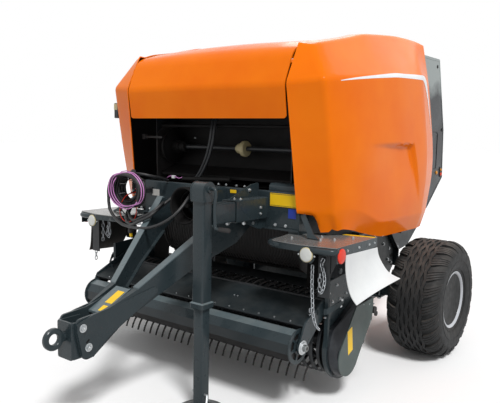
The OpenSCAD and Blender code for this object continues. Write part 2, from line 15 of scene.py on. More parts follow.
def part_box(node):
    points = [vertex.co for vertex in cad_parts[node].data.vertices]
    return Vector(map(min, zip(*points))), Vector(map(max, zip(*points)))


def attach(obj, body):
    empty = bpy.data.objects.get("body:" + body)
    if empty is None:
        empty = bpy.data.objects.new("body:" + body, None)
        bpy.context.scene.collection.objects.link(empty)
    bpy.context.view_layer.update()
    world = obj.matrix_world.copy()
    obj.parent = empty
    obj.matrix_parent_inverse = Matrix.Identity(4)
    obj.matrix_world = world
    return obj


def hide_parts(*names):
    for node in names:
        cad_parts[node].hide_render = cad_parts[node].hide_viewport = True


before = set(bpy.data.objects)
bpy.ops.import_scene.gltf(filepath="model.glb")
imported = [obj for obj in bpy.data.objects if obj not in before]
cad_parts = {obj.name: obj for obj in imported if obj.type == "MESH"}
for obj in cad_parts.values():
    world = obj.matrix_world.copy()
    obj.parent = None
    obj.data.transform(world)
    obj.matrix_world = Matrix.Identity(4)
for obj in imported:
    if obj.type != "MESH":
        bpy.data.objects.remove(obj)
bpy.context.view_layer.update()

tyre_lo, tyre_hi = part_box("tyre_left")
AXLE_Y = (tyre_lo.y + tyre_hi.y) / 2


def place(x, y, z):
    """A point in millimetres from the axle, as a point of the row frame in metres."""
    return Vector((x / 1000, y / 1000 + AXLE_Y, z / 1000))


def added(name, data):
    """A new object of the scene that shows the data."""
    obj = bpy.data.objects.new(name, data)
    bpy.context.scene.collection.objects.link(obj)
    return obj


SIDES = ((1, "left"), (-1, "right"))
LEFT, AHEAD, UP = (1, 0, 0), (0, -1, 0), (0, 0, 1)


# ---- Camera ------------------------------------------------------------------------------------

CAMERA_AT = (2742, -4460, 1653)
CAMERA_TURN = 37.439
CAMERA_DIP = 6.452
CAMERA_ROLL = 1.079
CAMERA_LENS = 43.46

cam_data = bpy.data.cameras.new("camera")
cam_data.sensor_width = 36
cam_data.lens = CAMERA_LENS
cam = added("camera", cam_data)
cam.location = place(*CAMERA_AT)
cam.rotation_mode = "QUATERNION"
cam.rotation_quaternion = (
    Matrix.Rotation(radians(CAMERA_TURN), 3, "Z")
    @ Matrix.Rotation(radians(90 - CAMERA_DIP), 3, "X")
    @ Matrix.Rotation(radians(CAMERA_ROLL), 3, "Z")
).to_quaternion()
bpy.context.scene.camera = cam


# ---- Materials ---------------------------------------------------------------------------------


class Nodes:
    """Short names for the few shader nodes that the finishes are made of."""

    def __init__(self, name):
        self.mat = bpy.data.materials.new(name)
        self.mat.use_nodes = True
        self.tree = self.mat.node_tree
        self.shader = self.tree.nodes["Principled BSDF"]
        coord = self.tree.nodes.new("ShaderNodeTexCoord")
        self.place = coord.outputs["Object"]

    def link(self, a, b):
        self.tree.links.new(a, b)

    def noise(self, scale, detail, rough=0.55, squeeze=(1, 1, 1)):
        n = self.tree.nodes.new("ShaderNodeTexNoise")
        n.inputs["Scale"].default_value = scale
        n.inputs["Detail"].default_value = detail
        n.inputs["Roughness"].default_value = rough
        if squeeze == (1, 1, 1):
            self.link(self.place, n.inputs["Vector"])
        else:
            m = self.tree.nodes.new("ShaderNodeMapping")
            m.inputs["Scale"].default_value = squeeze
            self.link(self.place, m.inputs["Vector"])
            self.link(m.outputs["Vector"], n.inputs["Vector"])
        return n.outputs["Fac"]

    def span(self, value, a, b, lo=0.0, hi=1.0):
        """value from a to b, mapped to lo to hi."""
        r = self.tree.nodes.new("ShaderNodeMapRange")
        r.inputs["From Min"].default_value = a
        r.inputs["From Max"].default_value = b
        r.inputs["To Min"].default_value = lo
        r.inputs["To Max"].default_value = hi
        self.link(value, r.inputs["Value"])
        return r.outputs["Result"]

    def mix(self, fac, a, b):
        m = self.tree.nodes.new("ShaderNodeMix")
        m.data_type = "RGBA"
        self.link(fac, m.inputs["Factor"])
        for slot_name, value in (("A", a), ("B", b)):
            socket = [s for s in m.inputs if s.name == slot_name and s.type == "RGBA"][0]
            if isinstance(value, tuple):
                socket.default_value = (*value, 1)
            else:
                self.link(value, socket)
        return [s for s in m.outputs if s.type == "RGBA"][0]

    def times(self, a, b):
        m = self.tree.nodes.new("ShaderNodeMath")
        m.operation = "MULTIPLY"
        self.link(a, m.inputs[0])
        self.link(b, m.inputs[1])
        return m.outputs[0]

    def world_z(self, what):
        """The upward part of the surface's Position, in metres, or of its Normal."""
        geo = self.tree.nodes.new("ShaderNodeNewGeometry")
        sep = self.tree.nodes.new("ShaderNodeSeparateXYZ")
        self.link(geo.outputs[what], sep.inputs[0])
        return sep.outputs["Z"]

    def bump(self, height, strength, distance):
        b = self.tree.nodes.new("ShaderNodeBump")
        b.inputs["Strength"].default_value = strength
        b.inputs["Distance"].default_value = distance
        self.link(height, b.inputs["Height"])
        self.link(b.outputs["Normal"], self.shader.inputs["Normal"])

    def put(self, name, value):
        """Gives the shader a colour, a number or what a node works out."""
        socket = self.shader.inputs[name]
        if isinstance(value, (int, float)):
            socket.default_value = value
        elif isinstance(value, tuple):
            socket.default_value = (*value, 1)
        else:
            self.link(value, socket)


def srgb(r, g, b):
    """A colour of 0 to 255 steps, as the shader's linear numbers."""
    return tuple((c / 255 / 12.92) if c < 11 else ((c / 255 + 0.055) / 1.055) ** 2.4 for c in (r, g, b))


def painted(name, colour, shade, rough=0.35, coat=0.0, grain=0.15, dust=0.25, dust_colour=(150, 140, 125),
        shine=0.4):
    """Sprayed enamel: slow tone changes, fine orange peel, and dust that lies on what faces up."""
    n = Nodes(name)
    tone = n.mix(n.span(n.noise(2.2, 3), 0.35, 0.65), srgb(*colour), srgb(*shade))
    speck = n.span(n.noise(60, 5, 0.7), 0.62, 0.75)
    up = n.span(n.world_z("Normal"), 0.55, 1.0, 0.0, dust)
    dusty = n.times(up, n.span(n.noise(9, 5, 0.6), 0.35, 0.65))
    n.put("Base Color", n.mix(n.times(speck, dusty), n.mix(dusty, tone, srgb(*dust_colour)),
        srgb(*dust_colour)))
    n.put("Roughness", n.span(n.noise(14, 4), 0.3, 0.7, rough - 0.05, rough + 0.08))
    n.put("Specular IOR Level", shine)
    n.put("Coat Weight", coat)
    n.put("Coat Roughness", 0.08)
    n.bump(n.noise(260, 2), grain, 0.0004)
    return n.mat


def gate_cover_with_painted_sky():
    """Glossy black moulding that pales above the hinge: a painted reflection of an open sky, by height."""
    n = Nodes("cover")
    cloud = n.span(n.noise(7, 3), 0.3, 0.7, -0.05, 0.05)
    level = n.tree.nodes.new("ShaderNodeMath")
    n.link(n.world_z("Position"), level.inputs[0])
    n.link(cloud, level.inputs[1])
    dark = n.mix(n.span(n.noise(5, 4), 0.4, 0.62), srgb(34, 36, 40), srgb(58, 62, 66))
    # painted sky reflection: the colour turns pale grey from about 2 m above the ground
    n.put("Base Color", n.mix(n.span(level.outputs[0], 1.99, 2.12), dark, srgb(150, 158, 157)))
    n.put("Roughness", 0.24)
    n.put("Specular IOR Level", 0.2)
    return n.mat


def metal(name, colour, rough=0.3, squeeze=(1, 1, 1), spots=(90, 80, 66)):
    n = Nodes(name)
    n.put("Base Color", n.mix(n.span(n.noise(35, 6, 0.7), 0.55, 0.8, 0, 0.6), srgb(*colour), srgb(*spots)))
    n.put("Metallic", 0.9)
    n.put("Roughness", n.span(n.noise(50, 5, 0.6, squeeze), 0.3, 0.7, rough - 0.08, rough + 0.15))
    n.bump(n.noise(180, 3), 0.2, 0.0003)
    return n.mat


def plastic(name, colour, shade, rough=0.45, grain=0.12, scale=120):
    n = Nodes(name)
    n.put("Base Color", n.mix(n.span(n.noise(7, 4), 0.35, 0.65), srgb(*colour), srgb(*shade)))
    n.put("Roughness", n.span(n.noise(20, 4), 0.3, 0.7, rough - 0.06, rough + 0.08))
    n.bump(n.noise(scale, 3), grain, 0.0005)
    return n.mat


def rubber(name, colour, dusty, rough=0.75, scale=70):
    """Rubber that is greyer where dust lies on its upper faces."""
    n = Nodes(name)
    up = n.times(n.span(n.world_z("Normal"), 0.1, 0.95, 0, 0.8), n.span(n.noise(10, 5, 0.65), 0.3, 0.7))
    base = n.mix(n.span(n.noise(3, 4), 0.35, 0.65), srgb(*colour), srgb(*[c * 0.75 for c in colour]))
    n.put("Base Color", n.mix(up, base, srgb(*dusty)))
    n.put("Roughness", n.span(n.noise(24, 5), 0.3, 0.7, rough - 0.1, rough + 0.1))
    n.bump(n.noise(scale, 5, 0.6), 0.35, 0.0008)
    return n.mat


# The values that each kind of finish gets, in the order of its function
FINISHES = {
    painted: {
        "orange": ((242, 121, 14), (236, 111, 10), 0.16, 0.05, 0.03, 0.0, (236, 190, 150), 0.05),
        "orange_dark": ((196, 88, 16), (170, 74, 14), 0.5, 0.0, 0.2, 0.0),
        "grey": ((46, 56, 60), (39, 49, 53), 0.28, 0.12, 0.15, 0.16, (128, 130, 128), 0.22),
        # a lighter grey for faces that look up: a painted highlight
        "grey_painted_highlight": ((92, 106, 110), (78, 90, 95), 0.3, 0.2, 0.2, 0.3, (140, 144, 142), 0.3),
        "grey_dark": ((36, 43, 46), (30, 36, 39), 0.42, 0.0, 0.3, 0.25, (84, 86, 84), 0.3),
        "drive_face": ((70, 82, 80), (62, 74, 72), 0.4, 0.1, 0.15, 0.1, (120, 124, 120), 0.3),
        "roller_dust": ((66, 66, 62), (52, 54, 52), 0.5, 0.0, 0.4, 0.4, (112, 104, 92), 0.3),
        "grey_plate": ((96, 100, 102), (78, 80, 82), 0.45, 0.0, 0.4, 0.75, (150, 128, 112)),
        "worn_plate": ((118, 118, 116), (104, 104, 103), 0.24, 0.1, 0.02, 0.0, (150, 140, 124), 0.7),
        "black": ((34, 37, 40), (26, 28, 31), 0.45, 0.0, 0.3, 0.25, (84, 82, 78)),
        # near-black for parts deep inside the machine, and painted shade for holes and undersides
        "interior_and_painted_shade": ((19, 18, 18), (13, 12, 12), 0.6, 0.0, 0.3, 0.12, (40, 37, 35), 0.15),
        "band": ((30, 34, 37), (22, 25, 28), 0.42, 0.0, 0.3, 0.2, (72, 70, 66)),
        "silver": ((186, 189, 194), (168, 171, 177), 0.34, 0.3, 0.2, 0.25, (150, 144, 134)),
        "lining": ((26, 25, 25), (20, 19, 19), 0.7, 0.0, 0.3, 0.0, (40, 37, 35), 0.1)},
    metal: {
        "zinc": ((186, 190, 192), 0.32),
        "chain": ((160, 164, 168), 0.38),
        "chrome": ((220, 222, 224), 0.14, (1, 12, 12)),
        "worn": ((130, 134, 134), 0.42, (1, 1, 1), (70, 66, 60))},
    rubber: {
        "tyre": ((23, 25, 26), (78, 74, 70)),
        "tyre_tread": ((26, 27, 28), (92, 86, 80)),
        "hose": ((26, 27, 29), (60, 60, 60), 0.5, 160)},
    plastic: {
        "flap_white": ((222, 224, 224), (214, 216, 217), 0.5, 0.05, 30),
        "flap_dark": ((52, 50, 48), (40, 38, 36), 0.6),
        "yellow": ((248, 205, 26), (240, 192, 18), 0.4, 0.05),
        "blue": ((36, 62, 160), (28, 52, 146), 0.4, 0.05),
        "white": ((236, 238, 240), (226, 228, 230), 0.35, 0.05),
        "pale": ((196, 194, 190), (180, 178, 172), 0.45, 0.05),
        "cream": ((196, 184, 144), (174, 162, 122), 0.5),
        "magenta": ((206, 140, 200), (186, 118, 180), 0.4),
        "red": ((226, 52, 24), (210, 40, 18), 0.45, 0.03),
        "lamp": ((236, 66, 22), (220, 50, 14), 0.3, 0.02),
        "amber": ((222, 150, 40), (198, 126, 26), 0.4),
        "plug": ((232, 116, 40), (214, 98, 28), 0.4),
        "reflector": ((214, 216, 212), (196, 198, 194), 0.22, 0.2, 400),
        "grip": ((34, 32, 32), (26, 24, 24), 0.6)}}
MATERIALS = {name: make(name, *values) for make, rows in FINISHES.items() for name, values in rows.items()}
MATERIALS["cover"] = gate_cover_with_painted_sky()


# ---- Building pieces ---------------------------------------------------------------------------


def turns(sides):
    return [2 * pi * k / sides for k in range(sides)]


def circle(centre, radius, u, v, sides):
    return [centre + radius * (cos(t) * u + sin(t) * v) for t in turns(sides)]


def perpendicular(d):
    """Two unit vectors at right angles to d and to each other."""
    d = Vector(d).normalized()
    side = Vector(UP) if abs(d.z) < 0.9 else Vector(LEFT)
    u = d.cross(side).normalized()
    return u, d.cross(u).normalized()


class Piece:
    """One object put together from simple forms, in millimetres from the axle.

    With sign -1, the forms that follow are mirrored to the machine's right side.
    """

    def __init__(self, name, material, sign=1):
        self.name = name
        self.bm = bmesh.new()
        self.materials = [material]
        self.now = 0
        self.sign = sign

    def use(self, material):
        """The forms that follow get this material."""
        if material not in self.materials:
            self.materials.append(material)
        self.now = self.materials.index(material)
        return self

    def face(self, verts):
        try:
            self.bm.faces.new(verts).material_index = self.now
        except ValueError:
            pass

    def points(self, pts):
        return [self.bm.verts.new(place(self.sign * x, y, z)) for x, y, z in pts]

    def loft(self, rings, closed_rings=True, caps=True, closed_path=False):
        """Faces between rings of points, with their ends closed."""
        rows = [self.points(r) for r in rings]
        n = len(rows[0])
        last = len(rows) if closed_path else len(rows) - 1
        for i in range(last):
            a, b = rows[i], rows[(i + 1) % len(rows)]
            for j in range(n if closed_rings else n - 1):
                k = (j + 1) % n
                self.face([a[j], b[j], b[k], a[k]])
        if caps and closed_rings and not closed_path:
            self.face(rows[0])
            self.face(list(reversed(rows[-1])))
        return self

    def box(self, lo, hi):
        (x0, y0, z0), (x1, y1, z1) = lo, hi
        ring = [(y0, z0), (y1, z0), (y1, z1), (y0, z1)]
        return self.loft([[(x, y, z) for y, z in ring] for x in (x0, x1)])

    def beam(self, a, b, width, height, up=UP):
        """A square bar from a to b; height is measured along up."""
        a, b = Vector(a), Vector(b)
        d = (b - a).normalized()
        side = d.cross(Vector(up)).normalized() * (width / 2)
        top = side.cross(d).normalized() * (height / 2)
        ring = [side + top, side - top, -side - top, -side + top]
        return self.loft([[p + o for o in ring] for p in (a, b)])

    def plate(self, outline, x0, x1):
        """A flat plate across X, with its outline given as (y, z) points."""
        return self.loft([[(x, y, z) for y, z in outline] for x in (x0, x1)])

    def upright(self, outline, y0, y1):
        """A flat plate across Y, with its outline given as (x, z) points."""
        return self.loft([[(x, y, z) for x, z in outline] for y in (y0, y1)])

    def slab(self, outline, z0, z1):
        """A flat plate that lies level, with its outline given as (x, y) points."""
        return self.loft([[(x, y, z) for x, y in outline] for z in (z0, z1)])

    def post(self, x, y, half, corner, z0, z1):
        """An upright square bar with rounded corners."""
        return self.slab(rounded([(x - half, y - half), (x + half, y - half), (x + half, y + half),
            (x - half, y + half)], corner), z0, z1)

    def rod(self, a, b, r, r2=None, sides=20):
        a, b = Vector(a), Vector(b)
        u, v = perpendicular(b - a)
        return self.loft([circle(p, radius, u, v, sides)
            for p, radius in ((a, r), (b, r if r2 is None else r2))])

    def lathe(self, centre, axis, profile, sides, closed=False):
        """A turned form: profile is (radius, distance along the axis) points."""
        c, d = Vector(centre), Vector(axis).normalized()
        u, v = perpendicular(d)
        return self.loft([circle(c + d * along, radius, u, v, sides) for radius, along in profile],
            closed_path=closed)

    def solid(self, centre, axis, profile, sides):
        """A turned form whose flat ends reach the axis."""
        return self.lathe(centre, axis, [(0.5, profile[0][1]), *profile, (0.5, profile[-1][1])], sides)

    def ring(self, centre, axis, profile, sides):
        """A turned form that leaves its middle open: the profile goes round its section."""
        return self.lathe(centre, axis, profile, sides, closed=True)

    def tube(self, route, r, sides, steps=6, closed=False, smooth=True):
        """A round tube along a smooth curve through the route's points."""
        pts = curve(route, steps, closed) if smooth else [Vector(p) for p in route]
        count = len(pts)
        rings = []
        u = None
        for i, p in enumerate(pts):
            if closed:
                d = pts[(i + 1) % count] - pts[i - 1]
            else:
                d = pts[min(i + 1, count - 1)] - pts[max(i - 1, 0)]
            d.normalize()
            if u is None:
                u, v = perpendicular(d)
            else:
                u = (u - d * u.dot(d)).normalized()
                v = d.cross(u)
            rings.append(circle(p, r, u, v, sides))
        return self.loft(rings, closed_path=closed)

    def strip(self, route, across, width, thickness):
        """A flat bar of constant section along a route; across is its width's direction."""
        pts = [Vector(p) for p in route]
        w = Vector(across).normalized() * (width / 2)
        rings = []
        for i, p in enumerate(pts):
            d = (pts[min(i + 1, len(pts) - 1)] - pts[max(i - 1, 0)]).normalized()
            n = d.cross(w).normalized() * (thickness / 2)
            rings.append([p + o for o in (w + n, w - n, -w - n, -w + n)])
        return self.loft(rings)

    def bolt(self, at, direction, size, washer=True):
        """A hexagon head with a washer, standing on a face."""
        at, d = Vector(at), Vector(direction).normalized()
        if washer:
            self.rod(at, at + d * 2, size * 1.15, sides=16)
        self.rod(at + d * 2, at + d * (2 + size * 0.6), size * 0.95, size * 0.95, 6)
        self.rod(at + d * (2 + size * 0.6), at + d * (2 + size * 0.9), size * 0.5, size * 0.42, 10)
        return self

    def bolts(self, places, direction, size):
        for at in places:
            self.bolt(at, direction, size)
        return self

    def mirrored(self):
        """Adds the mirror image of all that is there so far, across the machine's middle."""
        made = bmesh.ops.duplicate(self.bm, geom=self.bm.verts[:] + self.bm.edges[:] + self.bm.faces[:])
        verts = [g for g in made["geom"] if isinstance(g, bmesh.types.BMVert)]
        for v in verts:
            v.co.x = -v.co.x
        bmesh.ops.reverse_faces(self.bm, faces=[g for g in made["geom"] if isinstance(g, bmesh.types.BMFace)])
        return self

    def done(self, body, slot, stands_for=(), bevel=1.5, sharp=35, segments=2):
        """Makes the object, lets it ride on its body and hides the nodes that it stands for."""
        bmesh.ops.recalc_face_normals(self.bm, faces=self.bm.faces)
        mesh = bpy.data.meshes.new(self.name)
        self.bm.to_mesh(mesh)
        self.bm.free()
        mesh.shade_smooth()
        mesh.set_sharp_from_angle(angle=radians(sharp))
        obj = added(self.name, mesh)
        for m in self.materials:
            mesh.materials.append(MATERIALS[m])
        if bevel:
            add_bevel(obj, bevel, sharp, segments)
        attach(obj, body)
        if stands_for:
            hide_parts(*stands_for)
        return obj


def add_bevel(obj, width, sharp=35, segments=2):
    """Rounds the hard edges by a width in millimetres."""
    b = obj.modifiers.new("edges", "BEVEL")
    b.width = width / 1000
    b.segments = segments
    b.limit_method = "ANGLE"
    b.angle_limit = radians(sharp)
    b.harden_normals = True


def curve(route, steps, closed=False):
    """Points of a smooth curve through the route's points."""
    p = [Vector(q) for q in route]
    n = len(p)
    out = []
    for i in range(n if closed else n - 1):
        if closed:
            a, b, c, d = p[i - 1], p[i], p[(i + 1) % n], p[(i + 2) % n]
        else:
            a, b, c, d = p[max(i - 1, 0)], p[i], p[i + 1], p[min(i + 2, n - 1)]
        for k in range(steps):
            t = k / steps
            out.append(
                0.5 * ((2 * b) + (c - a) * t + (2 * a - 5 * b + 4 * c - d) * t * t
                       + (3 * b - a - 3 * c + d) * t * t * t))
    if not closed:
        out.append(p[-1].copy())
    return out


def arc(centre, radius, a0, a1, steps):
    """(y, z) points of an arc, with its angles in degrees."""
    out = []
    for i in range(steps + 1):
        t = radians(a0 + (a1 - a0) * i / steps)
        out.append((centre[0] + radius * cos(t), centre[1] + radius * sin(t)))
    return out


def rounded(outline, radius, steps=4):
    """The outline with each of its corners rounded."""
    out = []
    n = len(outline)
    for i in range(n):
        p = Vector(outline[i])
        a, b = Vector(outline[i - 1]), Vector(outline[(i + 1) % n])
        r = min(radius, (a - p).length * 0.45, (b - p).length * 0.45)
        s, e = p + (a - p).normalized() * r, p + (b - p).normalized() * r
        for k in range(steps + 1):
            t = k / steps
            out.append(tuple((1 - t) ** 2 * s + 2 * t * (1 - t) * p + t * t * e))
    return out


def step(value, a, b):
    """0 below a, 1 above b and smooth between."""
    t = min(1, max(0, (value - a) / (b - a)))
    return t * t * (3 - 2 * t)


# ---- Light and floor ---------------------------------------------------------------------------

scene = bpy.context.scene
scene.view_settings.view_transform = "Standard"


def seen_directly(tree):
    """1 for rays from the camera, and for what metal and glass show, and 0 for all other light."""
    path = tree.nodes.new("ShaderNodeLightPath")
    value = path.outputs["Is Camera Ray"]
    for ray in ("Is Glossy Ray", "Is Transmission Ray"):
        either = tree.nodes.new("ShaderNodeMath")
        either.operation = "MAXIMUM"
        tree.links.new(value, either.inputs[0])
        tree.links.new(path.outputs[ray], either.inputs[1])
        value = either.outputs[0]
    return value


SKY_LIGHT = 0.5
world = bpy.data.worlds.new("world")
scene.world = world
world.use_nodes = True
back = world.node_tree.nodes["Background"]
strength = world.node_tree.nodes.new("ShaderNodeMapRange")
strength.inputs["To Min"].default_value = SKY_LIGHT
world.node_tree.links.new(seen_directly(world.node_tree), strength.inputs["Value"])
world.node_tree.links.new(strength.outputs["Result"], back.inputs["Strength"])
back.inputs["Color"].default_value = (1, 1, 1, 1)


def lamp(name, kind, towards, power):
    """A lamp that lies in the direction of towards."""
    data = bpy.data.lights.new(name, kind)
    data.energy = power
    obj = added(name, data)
    obj.rotation_mode = "QUATERNION"
    obj.rotation_quaternion = Vector(towards).to_track_quat("Z", "Y")
    return obj


# Even light from one side, as soft as a large studio lamp
KEY_STRENGTH = 2.45
KEY_SOFTNESS = 14
key = lamp("lamp_key", "SUN", (0.62, -0.42, 1.0), KEY_STRENGTH)
key.data.angle = radians(KEY_SOFTNESS)

# A large white panel behind the machine that its polished faces mirror
MIRRORED_TOWARDS = (-0.1, 0.75, 0.72)
MIRRORED_DISTANCE = 9
MIRRORED_WATTS = 190
MACHINE_MIDDLE = (0, 0.8, 1.2)
panel = lamp("lamp_mirrored", "AREA", MIRRORED_TOWARDS, MIRRORED_WATTS)
panel.data.shape = "RECTANGLE"
panel.data.size, panel.data.size_y = 9, 5
panel.location = Vector(MIRRORED_TOWARDS).normalized() * MIRRORED_DISTANCE + Vector(MACHINE_MIDDLE)
panel.visible_camera = False
panel.visible_diffuse = False

floor_mesh = bpy.data.meshes.new("floor")
FLOOR_HALF = 60
floor_corners = [(x * FLOOR_HALF, y * FLOOR_HALF, 0) for x, y in ((-1, -1), (1, -1), (1, 1), (-1, 1))]
floor_mesh.from_pydata(floor_corners, [], [(0, 1, 2, 3)])
floor = added("floor", floor_mesh)
floor_nodes = Nodes("floor")
plain = floor_nodes.mix(floor_nodes.span(floor_nodes.noise(1.5, 3), 0.3, 0.7), (0.55, 0.55, 0.55),
    (0.58, 0.58, 0.58))
floor_nodes.put("Base Color", floor_nodes.mix(seen_directly(floor_nodes.tree), plain, (1.0, 1.0, 1.0)))
floor_nodes.put("Roughness", 0.95)
floor_nodes.put("Specular IOR Level", 0.1)
floor_mesh.materials.append(floor_nodes.mat)


# ---- Hoses and cables --------------------------------------------------------------------------

COIL_AT = (-585, -1545, 1235)
HOSE = 22
LOOP = [
    (-575, -1545, 1118), (-520, -1640, 1050), (-400, -1705, 1012), (-310, -1715, 1045), (-220, -1690, 1090),
    (-212, -1600, 1145), (-210, -1510, 1190), (-204, -1455, 1212), (-184, -1412, 1225), (-150, -1388, 1228),
    (-120, -1388, 1228)]


TURN_POINTS = 16


def coil(start, count, radius, squash, drift, centre, wobble=0):
    """Points of turns about a line along Y, from an angle in degrees; drift is their whole move along Y."""
    out = []
    total = round(abs(count) * TURN_POINTS)
    for i in range(total + 1):
        t = radians(start + 360 * count * i / total)
        r = radius + wobble * sin(3 * t + i * 0.4)
        out.append((centre[0] + r * cos(t), centre[1] + drift * (i / total - 0.5) + wobble * 0.6 * sin(5 * t),
            centre[2] + squash * r * sin(t)))
    return out


def cord_piece(name, material, route, diameter, stands_for=(), steps=3,
        sides=12):
    """A free hose or cable: a tube along its route. a tube along its route, declared with the length that the
    route has.
    """
    line = curve(route, steps)
    piece = Piece(name, material).tube(line, diameter / 2, sides=sides, smooth=False)
    obj = piece.done("chassis", "hose_rubber", stands_for, bevel=0, sharp=80)


def hose(name, loop, radius, y_start, y_end, count, end):
    """A hydraulic hose from the middle of the beam round the loop and the coil to its coupling."""
    turned = coil(-90, -count, radius, 0.97, centre=(COIL_AT[0], (y_start + y_end) / 2, COIL_AT[2]),
        drift=y_end - y_start)
    route = list(reversed(loop)) + turned + end
    crimp = Piece(name + "_coupling", "zinc")
    a, b = Vector(end[-2]), Vector(end[-1])
    d = (b - a).normalized()
    crimp.lathe(b - d * 26, d, [(0.5, 0), (14, 0), (14.5, 4), (14.5, 26), (12, 28), (12, 34), (17, 35),
        (17, 52), (11, 53), (11, 62), (0.5, 62)], 24)
    crimp.use("grip").lathe(b + d * 30, d, [(0.5, -2), (15, -2), (18, 2), (18, 30), (14, 36), (0.5, 36)], 24)
    coupling = crimp.done("chassis", "hose_rubber", bevel=1)
    cord_piece(name, "hose", route, HOSE, ("hose_coil", "hose_loop"),
        steps=2)


LOOP_IN = [(x + 4, y + 25, z + 27) for x, y, z in LOOP[:6]] + [(-205, -1575, 1160), (-196, -1490, 1210),
    (-172, -1440, 1236), (-140, -1412, 1252), (-120, -1412, 1256)]
hose("hose_outer", LOOP, 116, -1516, -1580, 2.62, [(-470, -1590, 1330), (-432, -1600, 1322)])
hose("hose_inner", LOOP_IN, 91, -1508, -1572, 2.55, [(-540, -1598, 1336), (-500, -1612, 1352)])

cord_piece("hose_long", "hose", [(-400, -1348, 1300), (-372, -1440, 1322), (-380, -1530, 1342),
    (-430, -1584, 1356)] + coil(96, 3.29, 160, 0.72, centre=(-510, -1632, 1238), drift=-82, wobble=5)
    + [(-640, -1684, 1102), (-570, -1692, 1042), (-480, -1704, 1008), (-368, -1716, 1003),
    (-250, -1736, 1008), (-152, -1740, 1026), (-60, -1730, 1062), (16, -1700, 1116), (40, -1640, 1180),
    (20, -1560, 1236), (-10, -1480, 1270), (-30, -1400, 1290), (-36, -1344, 1300)], HOSE,
    steps=2)
cord_piece("cable_magenta", "magenta", [(-570, -1500, 1322), (-556, -1560, 1362), (-572, -1630, 1368)]
    + coil(160, 2.233, 166, 0.72, centre=(-430, -1712, 1256), drift=-46, wobble=8) + [(-430, -1710, 1118),
    (-380, -1680, 1150), (-374, -1630, 1210), (-430, -1565, 1246), (-510, -1524, 1250), (-566, -1508, 1240)],
    7, steps=2, sides=8)
cord_piece(
    "cable_red", "red",
    [(-560, -1512, 1214), (-500, -1560, 1176), (-446, -1606, 1110), (-446, -1616, 1054), (-476, -1624, 1024),
     (-524, -1630, 1014), (-566, -1630, 1030), (-594, -1628, 1066), (-600, -1622, 1106), (-590, -1616, 1146),
     (-570, -1606, 1180), (-545, -1598, 1204), (-515, -1590, 1214), (-500, -1560, 1224), (-526, -1530, 1230),
     (-566, -1508, 1236)],
    6, sides=8)

lead_plug = Piece("lead_plug", "grip")
lead_plug.solid((-500, -1616, 986), (0.12, 0, -1), [(9, -14), (12, -8), (15, 0), (15, 26), (19, 28), (19, 44),
    (16, 45), (16, 52)], 20)
lead_plug.use("yellow").solid((-493.8, -1616, 934), (0.12, 0, -1), [(11, 0), (12, 20), (8, 26)], 16)
lead_plug = lead_plug.done("chassis", "hose_rubber", bevel=0.8)
cord_piece(
    "lead_lighting", "hose",
    [(-562, -1512, 1226), (-590, -1530, 1206), (-612, -1560, 1186), (-620, -1592, 1160), (-612, -1612, 1128),
     (-588, -1622, 1098), (-558, -1624, 1074), (-528, -1622, 1054), (-510, -1619, 1034), (-502, -1617, 1014),
     (-501, -1616, 1000)],
    9, (), sides=10)

ties = Piece("hose_ties", "white")
for angle, tilt in ((64, 10), (150, -14), (205, 8)):
    t = radians(angle)
    c = Vector((COIL_AT[0] + 104 * cos(t), COIL_AT[1] - 3, COIL_AT[2] + 104 * sin(t)))
    radial = Vector((cos(t), tilt / 100, sin(t)))
    along = Vector((0, 1, 0))
    loop = [c + radial * (31 * cos(a)) + along * (48 * sin(a)) for a in turns(20)]
    ties.tube(loop, 2.6, 8, 2, closed=True)
ties.box((-412, -1650, 1006), (-376, -1622, 1032))
ties.done("chassis", "hose_rubber", bevel=0.8)


# ---- Bodywork ----------------------------------------------------------------------------------


def soft_corners(points, radii, parts):
    """A polyline whose corners are rounded by their radii; the number of points never changes."""
    p = [Vector(q) for q in points]
    out = [p[0]]
    for i in range(1, len(p) - 1):
        if not radii[i]:
            out.append(p[i])
            continue
        a, b = p[i - 1] - p[i], p[i + 1] - p[i]
        r1, r2 = min(radii[i], a.length * 0.46), min(radii[i], b.length * 0.46)
        s, e = p[i] + a.normalized() * r1, p[i] + b.normalized() * r2
        for k in range(parts + 1):
            t = k / parts
            out.append((1 - t) ** 2 * s + 2 * t * (1 - t) * p[i] + t * t * e)
    out.append(p[-1])
    return out


def divided(points, parts):
    """Each stretch of a polyline cut into equal parts."""
    out = []
    for a, b, n in zip(points, points[1:], parts):
        out += [a.lerp(b, k / n) for k in range(n)]
    return out + [points[-1]]


HOOD_HALF = 687
HOOD_FOOT = 1746
HOOD_FRONT = -1436
SKIN = 10


def hood_surface():
    """Rows of points of the hood's outer face, from its lower edge to its hinge, across its width."""
    profile = soft_corners(
        [(0, HOOD_FRONT, HOOD_FOOT), (0, -1466, 1950), (0, -1374, 2168), (0, -1180, 2232), (0, -575, 2327)],
        [0, 30, 70, 150, 0], 8)
    profile = divided(profile, [10] + [1] * 8 + [8] + [1] * 8 + [2] + [1] * 8 + [14])
    corner = 20
    xs = [0, 90, 180, 270, 360, 450, 540, 600, 640] + [HOOD_HALF - corner + corner * sin(radians(a))
        for a in (10, 22, 34, 46, 58, 70, 80, 86, 90)]
    xs = [-x for x in reversed(xs[1:])] + xs
    rows = []
    for x in xs:
        into = max(0, abs(x) - (HOOD_HALF - corner))
        lift = corner - sqrt(max(0, corner ** 2 - into ** 2))
        row = []
        for i, p in enumerate(profile):
            z = max(p.z, HOOD_FOOT + lift) if i < 10 else p.z
            y = p.y if i >= 10 else HOOD_FRONT - 30 * (z - HOOD_FOOT) / 204
            crown = 1 - (x / HOOD_HALF) ** 2
            row.append((x, y - 2.5 * crown, z + 20 * crown * step(p.z, 2130, 2240)))
        rows.append(row)
    return rows


